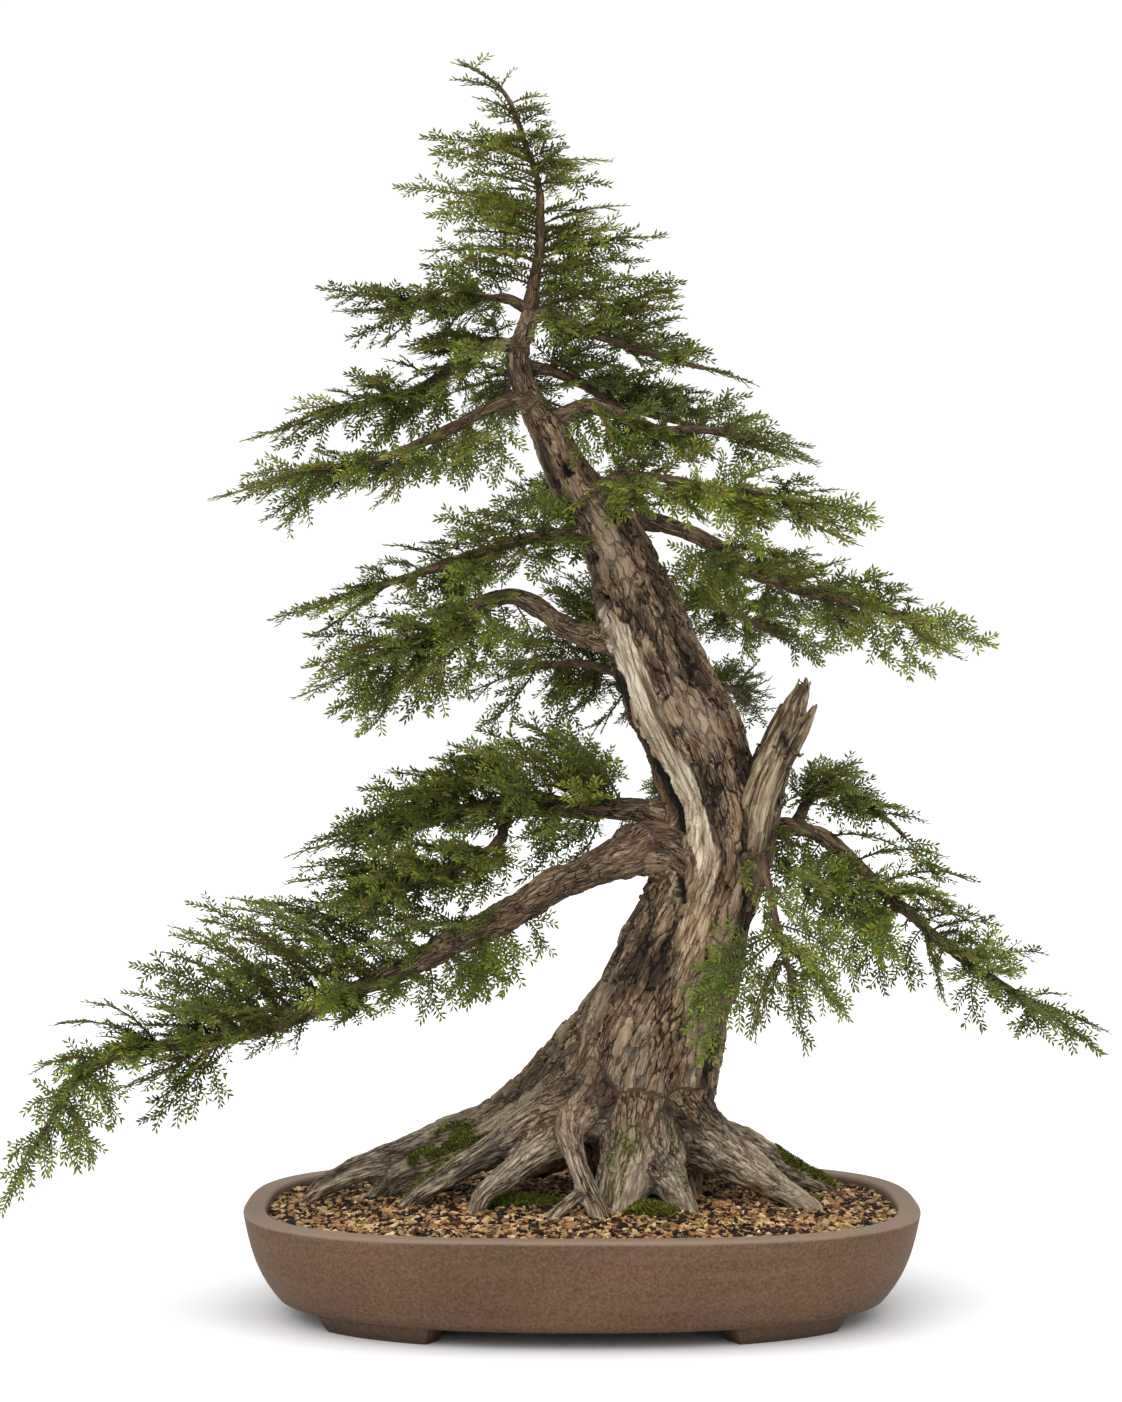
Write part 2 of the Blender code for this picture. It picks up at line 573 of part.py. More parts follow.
def make_pot(nodes, cutters, clay):
    pot = add_object("pot", oval_loft("pot", pot_rings()), nodes, clay)
    start, end = FOOT_SPAN
    spans = ((start, end), (math.pi - end, math.pi - start), (math.pi + start, math.pi + end),
             (math.tau - end, math.tau - start))
    feet = [foot(low, high, f"foot_{i}", cutters) for i, (low, high) in enumerate(spans)]
    combine(pot, feet, "UNION")
    holes = [cylinder(f"drain_{side}", POT_CENTRE_X + side * DRAIN_X, 0.0, 0.0, 0.04, DRAIN_RADIUS, cutters)
             for side in (-1, 1)]
    holes += [cylinder(f"wire_hole_{side}", POT_CENTRE_X + side * WIRE_HOLE_X, WIRE_HOLE_Y, 0.0, 0.04,
                       WIRE_HOLE_RADIUS, cutters, 10) for side in (-1, 1)]
    combine(pot, holes, "DIFFERENCE")


def make_screen(side, name, nodes, cutters, plastic):
    """A square plastic mesh over a drainage hole."""
    middle = Vector((POT_CENTRE_X + side * DRAIN_X, 0.0, FLOOR_TOP + GAP + SCREEN_THICKNESS / 2))
    plate = block(name, middle, (SCREEN_SIDE, SCREEN_SIDE, SCREEN_THICKNESS), nodes)
    plate.hide_render = False
    plate.display_type = "TEXTURED"
    plate.data.materials.append(plastic)
    half = (SCREEN_HOLES_ACROSS - 1) / 2
    holes = []
    for row in range(SCREEN_HOLES_ACROSS):
        for column in range(SCREEN_HOLES_ACROSS):
            place = middle + Vector(((column - half) * SCREEN_PITCH, (row - half) * SCREEN_PITCH, 0.0))
            holes.append(block(f"{name}_hole_{row}_{column}", place, (SCREEN_HOLE, SCREEN_HOLE, 0.01), cutters))
    combine(plate, holes, "DIFFERENCE")


def make_staple(side, name, nodes, metal):
    """Wire that bridges the screen, drops through the hole and turns out under the floor."""
    x = POT_CENTRE_X + side * DRAIN_X
    over = FLOOR_TOP + GAP * 2 + SCREEN_THICKNESS + STAPLE_RADIUS
    under = FOOT_HEIGHT + BASE_RECESS - GAP - STAPLE_RADIUS
    leg = SCREEN_PITCH
    points = [(x - leg - 0.013, 0.0, under), (x - leg, 0.0, under), (x - leg, 0.0, over),
              (x + leg, 0.0, over), (x + leg, 0.0, under), (x + leg + 0.013, 0.0, under)]
    line = rounded(points, 0.0015)
    mesh = curve_mesh(name, line, [STAPLE_RADIUS] * len(line), nodes, bevel_resolution=1)
    add_object(name, mesh, nodes, metal)


def rounded(points, radius):
    """The polyline with each corner replaced by a short arc of three points."""
    line = [points[0]]
    for a, b, c in zip(points, points[1:], points[2:]):
        a, b, c = Vector(a), Vector(b), Vector(c)
        start, end = b + (a - b).normalized() * radius, b + (c - b).normalized() * radius
        line += [tuple(start), tuple((start + end) / 4 + b / 2), tuple(end)]
    line.append(points[-1])
    return line


def make_anchor_wire(nodes, cutters, metal):
    """The wire that holds the root ball: up through the floor at both ends, bent over the roots."""
    low = FOOT_HEIGHT + BASE_RECESS - GAP - ANCHOR_RADIUS
    left, right = POT_CENTRE_X - WIRE_HOLE_X, POT_CENTRE_X + WIRE_HOLE_X
    points = [(left + 0.020, WIRE_HOLE_Y, 0.060), (left, WIRE_HOLE_Y, 0.056), (left, WIRE_HOLE_Y, low),
              (right, WIRE_HOLE_Y, low), (right, WIRE_HOLE_Y, 0.056), (right - 0.020, WIRE_HOLE_Y, 0.060)]
    line = rounded(points, 0.003)
    add_object("anchor_wire", curve_mesh("anchor_wire", line, [ANCHOR_RADIUS] * len(line), nodes,
                                         bevel_resolution=1), nodes, metal)
    twin = curve_mesh("anchor_clear", longer(line, CUT_GAP), [ANCHOR_RADIUS + CUT_GAP] * len(line), nodes,
                      bevel_resolution=1)
    return helper("anchor_clear", twin, cutters)


def soil_rings(clear, lift=0.0):
    """The soil body: the pot's inside up to the surface, then rings in towards a low mound."""
    rings = [ring for ring in reversed(inner_wall_rings(clear)) if ring[2] < SOIL_EDGE_Z]
    edge_inset = WALL_THICKNESS + pot_side(0.86) + clear
    edge_x, edge_y = POT_HALF_X - edge_inset, POT_HALF_Y - edge_inset
    rings.append((edge_x, edge_y, SOIL_EDGE_Z + lift))
    for share in (0.88, 0.72, 0.54, 0.34, 0.14):
        rise = SOIL_MOUND * (1 - share**2) ** 1.3
        rings.append((edge_x * share, edge_y * share, SOIL_EDGE_Z + lift + rise))
    return rings


def make_soil(nodes, cutters, earth, trunk_clear, wire_clear):
    soil = add_object("soil", oval_loft("soil", soil_rings(GAP)), nodes, earth)
    pockets = [block(f"screen_pocket_{side}", (POT_CENTRE_X + side * DRAIN_X, 0.0, FLOOR_TOP),
                     (SCREEN_SIDE + 2 * CUT_GAP, SCREEN_SIDE + 2 * CUT_GAP, 0.0076), cutters) for side in (-1, 1)]
    combine(soil, [trunk_clear, wire_clear, *pockets], "DIFFERENCE")


def make_trunk(nodes, bark):
    """The trunk, its surface roots and the dead stub as one body: swept limbs remeshed into one skin."""
    lines = [TRUNK_LINE, *ROOT_LINES, *SNAG_LINES]
    joined = bmesh.new()
    for i, points in enumerate(lines):
        line = smooth_line(points, 3)
        limb = curve_mesh(f"limb_{i}", line, [place[3] for place in line], nodes)
        joined.from_mesh(limb)
    mesh = bpy.data.meshes.new("trunk")
    joined.to_mesh(mesh)
    joined.free()
    trunk = add_object("trunk", mesh, nodes)
    skin = trunk.modifiers.new("Skin", "REMESH")
    skin.mode = "VOXEL"
    skin.voxel_size = TRUNK_VOXEL
    soften = trunk.modifiers.new("Soften", "SMOOTH")
    soften.factor = 0.5
    soften.iterations = 6
    thin = trunk.modifiers.new("Thin", "DECIMATE")
    thin.ratio = TRUNK_THINNING
    bpy.context.view_layer.update()
    graph = bpy.context.evaluated_depsgraph_get()
    final = bpy.data.meshes.new_from_object(trunk.evaluated_get(graph), depsgraph=graph)
    trunk.modifiers.clear()
    keep_largest(final)
    trunk.data = final
    final.materials.append(bark)
    return trunk


def branch_line(spec, count):
    return evenly(smooth_line(spec["line"], 6), count)


def make_branch(name, spec, nodes, cutters, bark):
    count = max(6, min(12, 2 + len(spec["line"])))
    line = branch_line(spec, count)
    radii = taper(count, spec["base"], spec["tip"])
    mesh = curve_mesh(name, line, radii, nodes, bevel_resolution=1)
    twin = curve_mesh(name + "_clear", longer(line, CUT_GAP), [r + CUT_GAP for r in radii], nodes,
                      bevel_resolution=1)
    return add_object(name, mesh, nodes, bark), helper(name + "_clear", twin, cutters)


def pad_outline(count):
    """How wide a pad is along its length: a leaf outline, blunt at the trunk end."""
    shares = [i / (count - 1) for i in range(count)]
    return [0.30 * (1 - t) + 0.14 * t + 0.74 * math.sin(math.pi * t**0.85) ** 0.7 for t in shares]


def make_pad(name, spec, nodes, cutters, leaf):
    start, half_width, half_height, overrun = spec["pad"]
    full = branch_line(spec, 25)
    end, before = Vector(full[-1]), Vector(full[-3])
    ahead = (end - before).normalized()
    full.append(tuple(end + ahead * overrun * 0.5 + Vector((0, 0, -0.05 * overrun))))
    full.append(tuple(end + ahead * overrun + Vector((0, 0, -0.15 * overrun))))
    line = evenly(full[int(25 * start):], 7)
    radii = pad_outline(len(line))
    mesh = curve_mesh(name, line, radii, nodes, (half_width, half_height))
    wide = curve_mesh(name + "_clear", longer(line, CUT_GAP), [r + PAD_CLEARANCE for r in radii], nodes,
                      (half_width + CUT_GAP, half_height + CUT_GAP))
    return add_object(name, mesh, nodes, leaf), helper(name + "_clear", wide, cutters)


def make_apex_pad(name, spec, nodes, leaf, clear=0.0):
    """A stack of ovals round the leader, wider below."""
    work = bmesh.new()
    sides, levels, loops = 10, 4, []
    (low_x, low_z), (high_x, high_z) = spec["low"], spec["high"]
    for i in range(levels + 1):
        t = i / levels
        wide = spec["wide"][0] + (spec["wide"][1] - spec["wide"][0]) * t
        wide *= 0.75 + 0.25 * math.sin(math.pi * min(1.0, t + 0.35))
        wide += clear
        z = low_z + (high_z - low_z) * t + clear * (2 * t - 1)
        x = low_x + (high_x - low_x) * t
        loops.append([work.verts.new((x + wide * math.cos(math.tau * k / sides),
                                      wide * spec["deep"] * math.sin(math.tau * k / sides), z))
                      for k in range(sides)])
    for low, high in zip(loops, loops[1:]):
        for k in range(sides):
            work.faces.new((low[k], low[(k + 1) % sides], high[(k + 1) % sides], high[k]))
    work.faces.new(list(reversed(loops[0])))
    work.faces.new(loops[-1])
    bmesh.ops.recalc_face_normals(work, faces=work.faces)
    mesh = bpy.data.meshes.new(name)
    work.to_mesh(mesh)
    work.free()
    return add_object(name, mesh, nodes, leaf)


def make_moss(name, patch, nodes, cutters, moss, under):
    x, y, half_x, half_y, height = patch
    work = bmesh.new()
    bmesh.ops.create_uvsphere(work, u_segments=12, v_segments=6, radius=1.0)
    bmesh.ops.scale(work, verts=work.verts, vec=(half_x, half_y, height))
    bmesh.ops.translate(work, verts=work.verts, vec=(x, y, SOIL_EDGE_Z + SOIL_MOUND * 0.6))
    mesh = bpy.data.meshes.new(name)
    work.to_mesh(mesh)
    work.free()
    obj = add_object(name, mesh, nodes, moss)
    combine(obj, under, "DIFFERENCE")


def main():
    for obj in list(bpy.data.objects):
        bpy.data.objects.remove(obj)
    nodes = bpy.data.collections.new("bonsai")
    cutters = bpy.data.collections.new("cutters")
    for collection in (nodes, cutters):
        bpy.context.scene.collection.children.link(collection)
    clay = material("clay", (0.15, 0.095, 0.07), 0.75)
    earth = material("earth", (0.30, 0.17, 0.08), 0.95)
    bark = material("bark", (0.13, 0.085, 0.055), 0.9)
    leaf = material("needles", (0.07, 0.13, 0.03), 0.6)
    moss = material("moss", (0.09, 0.12, 0.02), 0.95)
    plastic = material("screen_plastic", (0.02, 0.02, 0.02), 0.6)
    metal = material("aluminium_wire", (0.35, 0.25, 0.18), 0.4)

    make_pot(nodes, cutters, clay)
    for side, word in ((-1, "left"), (1, "right")):
        make_screen(side, f"drainage_screen_{word}", nodes, cutters, plastic)
        make_staple(side, f"screen_staple_{word}", nodes, metal)
    wire_clear = make_anchor_wire(nodes, cutters, metal)
    trunk = make_trunk(nodes, bark)
    trunk_clear = inflated("trunk_clear", trunk.data, CUT_GAP, cutters)
    make_soil(nodes, cutters, earth, trunk_clear, wire_clear)
    soil_clear = helper("soil_clear", oval_loft("soil_clear", soil_rings(GAP, CUT_GAP)), cutters)
    for name, patch in MOSS_PATCHES.items():
        make_moss(name, patch, nodes, cutters, moss, [soil_clear, trunk_clear])

    wood = [trunk_clear]
    leader_line = smooth_line(LEADER_LINE, 2)
    leader_radii = [place[3] for place in leader_line]
    leader = add_object("leader", curve_mesh("leader", leader_line, leader_radii, nodes, bevel_resolution=1),
                        nodes, bark)
    combine(leader, [trunk_clear], "DIFFERENCE")
    twin = curve_mesh("leader_clear", longer(leader_line, CUT_GAP), [r + CUT_GAP for r in leader_radii], nodes,
                      bevel_resolution=1)
    wood.append(helper("leader_clear", twin, cutters))
    for name, spec in BRANCHES.items():
        branch, clear = make_branch("branch_" + name, spec, nodes, cutters, bark)
        combine(branch, [other for other in wood if near(branch, other)], "DIFFERENCE")
        wood.append(clear)
    leafy = []
    for name, spec in BRANCHES.items():
        pad, clear = make_pad("foliage_" + name, spec, nodes, cutters, leaf)
        combine(pad, [other for other in wood + leafy if near(pad, other)], "DIFFERENCE")
        leafy.append(clear)
    for name, spec in APEX_PADS.items():
        pad = make_apex_pad(name, spec, nodes, leaf)
        combine(pad, [other for other in wood + leafy if near(pad, other)], "DIFFERENCE")
    for obj in nodes.objects:
        if obj.type == "MESH":
            obj.data.shade_smooth()
            obj.data.set_sharp_from_angle(angle=math.radians(40))


main()
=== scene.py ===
"""The finish of a conifer bonsai in an oval tray: clay, soil, moss, bark, deadwood, twigs and needles.

Metres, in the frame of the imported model. -Y is the viewing side, and every piece rides on the one body.
"""

import itertools
import math
import random

import bmesh
import bpy
import numpy as np
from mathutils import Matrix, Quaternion, Vector


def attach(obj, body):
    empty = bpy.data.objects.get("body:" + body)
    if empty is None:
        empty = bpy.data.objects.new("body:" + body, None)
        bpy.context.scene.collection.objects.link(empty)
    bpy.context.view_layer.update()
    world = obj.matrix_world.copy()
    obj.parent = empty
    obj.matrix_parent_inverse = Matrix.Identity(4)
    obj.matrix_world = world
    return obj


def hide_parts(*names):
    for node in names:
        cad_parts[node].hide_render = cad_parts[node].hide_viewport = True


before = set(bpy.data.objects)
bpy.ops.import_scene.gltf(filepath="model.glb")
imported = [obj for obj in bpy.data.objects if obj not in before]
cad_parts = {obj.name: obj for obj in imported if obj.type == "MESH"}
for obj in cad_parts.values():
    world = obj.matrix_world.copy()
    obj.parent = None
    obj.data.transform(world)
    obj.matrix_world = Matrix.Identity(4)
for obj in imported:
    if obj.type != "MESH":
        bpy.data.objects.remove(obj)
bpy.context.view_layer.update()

BODY = "root"
OWN_MAP = "OFBake"
UP = Vector((0.0, 0.0, 1.0))

# The studio: a level camera, one wide soft light and white air. Angles in degrees, lens in millimetres.
CAMERA_PLACE = (0.0, -2.5, 0.471)
CAMERA_LENS = 82.5
SUN_STRENGTH = 1.65
SUN_SPREAD = 75.0
SUN_AIM = (0.20, 0.66, -1.0)
AIR_STRENGTH = 1.06
FLOOR_HALF = 14.0

# The pot.
POT_CENTRE_X = 0.016
POT_HALF_X = 0.260
POT_HALF_Y = 0.200
POT_HEIGHT = 0.084
RIM_WIDTH = 0.018
RIM_ROUND = 0.003
INNER_ROUND = 0.002
RIM_DIP = 0.0003
FOOT_HEIGHT = 0.0117
FOOT_SPAN = (0.575, 1.13)
FOOT_SLOPE = 0.045
BASE_RECESS = 0.004
BASE_MARGIN = 0.028
FLOOR_TOP = FOOT_HEIGHT + BASE_RECESS + 0.010
WALL_THICKNESS = 0.015
BASE_SQUARENESS = 2.25
RIM_SQUARENESS = 2.90
WALL_LEAN = 0.0115
WALL_ROUND = 0.0155
WALL_POWER = 3.1
DRAIN_X = 0.105
DRAIN_RADIUS = 0.013
WIRE_HOLE = (0.055, 0.072, 0.003)
POT_SIDES = 240

# The soil's surface: where it meets the wall, and how high it is mounded.
SOIL_EDGE_Z = 0.0765
SOIL_MOUND = 0.012

# The trunk from the soil to the leader, and the leader: x, y, z and radius.
TRUNK_LINE = (
    (0.062, 0.000, 0.068, 0.050), (0.062, 0.000, 0.120, 0.050), (0.061, 0.000, 0.165, 0.060),
    (0.070, 0.002, 0.205, 0.059), (0.086, 0.005, 0.250, 0.053), (0.102, 0.008, 0.295, 0.047),
    (0.118, 0.010, 0.340, 0.044), (0.120, 0.009, 0.370, 0.042), (0.117, 0.007, 0.400, 0.038),
    (0.1005, 0.003, 0.445, 0.0412), (0.0795, -0.002, 0.487, 0.0395), (0.066, -0.006, 0.522, 0.0360),
    (0.050, -0.009, 0.573, 0.029), (0.034, -0.009, 0.607, 0.025), (0.007, -0.006, 0.645, 0.019),
    (-0.011, -0.004, 0.683, 0.015), (-0.027, -0.002, 0.711, 0.0110), (-0.034, 0.000, 0.738, 0.0100),
    (-0.026, 0.002, 0.765, 0.0085), (-0.022, 0.004, 0.790, 0.0060),
)
LEADER_LINE = (
    (-0.024, 0.003, 0.775, 0.0062), (-0.0218, 0.004, 0.790, 0.0056), (-0.016, 0.003, 0.822, 0.0042),
    (-0.016, 0.001, 0.850, 0.0033), (-0.018, -0.001, 0.878, 0.0027), (-0.028, -0.003, 0.905, 0.0022),
    (-0.038, -0.004, 0.933, 0.0018), (-0.050, -0.005, 0.950, 0.0014), (-0.068, -0.005, 0.962, 0.0008),
)

# Surface roots, from inside the trunk to where they dive into the soil.
ROOT_LINES = (
    ((0.024, 0.010, 0.190, 0.036), (-0.035, 0.020, 0.143, 0.026), (-0.090, 0.035, 0.122, 0.020),
     (-0.145, 0.055, 0.106, 0.012), (-0.188, 0.070, 0.086, 0.008), (-0.205, 0.075, 0.070, 0.006)),
    ((-0.120, 0.020, 0.106, 0.008), (-0.160, 0.006, 0.100, 0.007), (-0.194, 0.000, 0.084, 0.006),
     (-0.204, -0.003, 0.068, 0.005)),
    ((0.020, -0.010, 0.165, 0.034), (-0.040, -0.008, 0.132, 0.022), (-0.090, 0.002, 0.112, 0.016),
     (-0.125, 0.012, 0.098, 0.013), (-0.144, 0.016, 0.080, 0.010), (-0.150, 0.018, 0.066, 0.008)),
    ((0.030, -0.030, 0.165, 0.030), (-0.015, -0.045, 0.150, 0.019), (-0.052, -0.050, 0.129, 0.013),
     (-0.087, -0.048, 0.108, 0.011), (-0.112, -0.043, 0.090, 0.009), (-0.130, -0.042, 0.068, 0.007)),
    ((0.010, -0.045, 0.150, 0.018), (-0.017, -0.062, 0.130, 0.013), (-0.043, -0.072, 0.110, 0.011),
     (-0.060, -0.075, 0.095, 0.009), (-0.066, -0.076, 0.070, 0.008)),
    ((0.020, -0.045, 0.165, 0.017), (0.006, -0.073, 0.148, 0.012), (0.012, -0.088, 0.125, 0.009),
     (0.020, -0.092, 0.104, 0.009), (0.028, -0.095, 0.085, 0.009), (0.030, -0.095, 0.067, 0.009)),
    ((0.020, -0.090, 0.104, 0.007), (0.005, -0.099, 0.095, 0.0065), (-0.008, -0.104, 0.083, 0.006),
     (-0.014, -0.106, 0.070, 0.006)),
    ((0.060, -0.030, 0.165, 0.032), (0.054, -0.054, 0.125, 0.027), (0.045, -0.066, 0.098, 0.021),
     (0.040, -0.074, 0.070, 0.018)),
    ((0.070, -0.050, 0.130, 0.026), (0.083, -0.061, 0.105, 0.016), (0.095, -0.068, 0.087, 0.010),
     (0.101, -0.072, 0.068, 0.008)),
    ((0.075, -0.020, 0.165, 0.038), (0.115, -0.030, 0.131, 0.024), (0.145, -0.035, 0.110, 0.017),
     (0.170, -0.035, 0.095, 0.012), (0.192, -0.035, 0.081, 0.009), (0.203, -0.035, 0.068, 0.007)),
    ((0.077, 0.010, 0.168, 0.031), (0.115, 0.020, 0.132, 0.021), (0.153, 0.035, 0.112, 0.016),
     (0.188, 0.050, 0.094, 0.011), (0.210, 0.060, 0.083, 0.009), (0.219, 0.065, 0.069, 0.007)),
    ((0.040, 0.030, 0.155, 0.034), (0.000, 0.075, 0.116, 0.022), (-0.030, 0.105, 0.091, 0.014),
     (-0.045, 0.120, 0.068, 0.009)),
    ((0.075, 0.030, 0.155, 0.034), (0.100, 0.080, 0.113, 0.021), (0.120, 0.112, 0.088, 0.013),
     (0.128, 0.122, 0.068, 0.009)),
    ((0.058, 0.030, 0.145, 0.032), (0.050, 0.085, 0.104, 0.019), (0.044, 0.112, 0.084, 0.013),
     (0.042, 0.122, 0.067, 0.010)),
)

# The dead, splintered stub: its body and two prongs.
SNAG_LINES = (
    ((0.138, 0.000, 0.310, 0.016), (0.146, -0.003, 0.355, 0.018), (0.153, -0.006, 0.395, 0.018),
     (0.166, -0.008, 0.430, 0.013), (0.180, -0.009, 0.462, 0.008), (0.190, -0.010, 0.488, 0.002)),
    ((0.160, -0.008, 0.410, 0.011), (0.182, -0.014, 0.442, 0.007), (0.197, -0.017, 0.468, 0.002)),
    ((0.155, 0.000, 0.410, 0.011), (0.163, 0.002, 0.442, 0.006), (0.172, 0.003, 0.468, 0.002)),
)

# The wood that swells out under the stub, and the hook on its side.
STUB_SWELLING = ((0.130, 0.000, 0.300, 0.020), (0.142, -0.002, 0.340, 0.021), (0.147, -0.003, 0.372, 0.017))
STUB_HOOK = ((0.158, -0.018, 0.398, 0.006), (0.168, -0.021, 0.418, 0.005), (0.176, -0.022, 0.428, 0.004),
             (0.187, -0.022, 0.430, 0.0016))
SPLINTERS = 46

# The grain of the trunk's skin before its bark is lifted, and the height at which it is parted in two.
TRUNK_VOXEL = 0.0020
TRUNK_PARTING = 0.225

# Bark plates: the widths of broad and of narrow ones, and how many widths long they are.
PLATE_WIDTHS = (0.0078, 0.0046)
PLATE_LENGTH = 4.4

# Points are read against the limbs in lots. While the next limb is looked for, a point's own limb counts as
# far off. Each limb's coordinates start a step from the last limb's, so that no two share a pattern.
READ_AT_ONCE = 4000
FAR_OFF = 9.0
LIMB_STEP = 3.7

# A knot, as x, z and radius; a hollow, as x, z, half width and half height.
KNOT = (0.030, 0.548, 0.0085)
HOLLOW = (0.004, 0.650, 0.007, 0.009)

# Moss on the roots: x, y, half length and half width.
ROOT_MOSS = ((-0.088, -0.014, 0.050, 0.040), (0.065, -0.085, 0.040, 0.030), (0.195, 0.050, 0.030, 0.030))
MOSS_BLADE = 0.0030
ROOT_MOSS_BLADE = 0.0026

# Pads: how many inner shoots there are to each one in a pad's fill, how far shoots roll about their line,
# and how steeply a shoot has to hang before its fan turns to the front.
FILL = 2.3
PAD_ROLL = 0.60
APEX_ROLL = 0.55
HANGING = -0.55

# Side twigs: the gap between them on a shoot and on a side twig, and their slant in degrees.
TWIG_GAPS = {1: 0.0095, 2: 0.0086}
TWIG_SLANT = (38, 56)
NEEDLE_SPACING = 0.0030
NEEDLE_LENGTH = 0.0068
NEEDLE_WIDTH = 0.0021

# The strip of bare wood down the trunk's front: x, z and half width. Below it the bark is stained tan.
STRIP_LINE = ((0.030, 0.545, 0.004), (0.037, 0.530, 0.009), (0.057, 0.487, 0.0125), (0.074, 0.443, 0.0105),
              (0.097, 0.398, 0.010), (0.107, 0.368, 0.011), (0.112, 0.339, 0.008), (0.112, 0.318, 0.003))
STAIN_LINE = ((0.114, 0.345, 0.014), (0.107, 0.325, 0.018), (0.101, 0.287, 0.016), (0.096, 0.262, 0.008))
CRACK_LINE = ((0.0268, 0.517, 0.0028), (0.0384, 0.493, 0.0032), (0.0472, 0.470, 0.0032),
              (0.0575, 0.4465, 0.0032), (0.0706, 0.420, 0.0030), (0.0824, 0.402, 0.0028),
              (0.0889, 0.3846, 0.0027), (0.0897, 0.355, 0.0034), (0.0913, 0.329, 0.0034),
              (0.0941, 0.317, 0.0020))

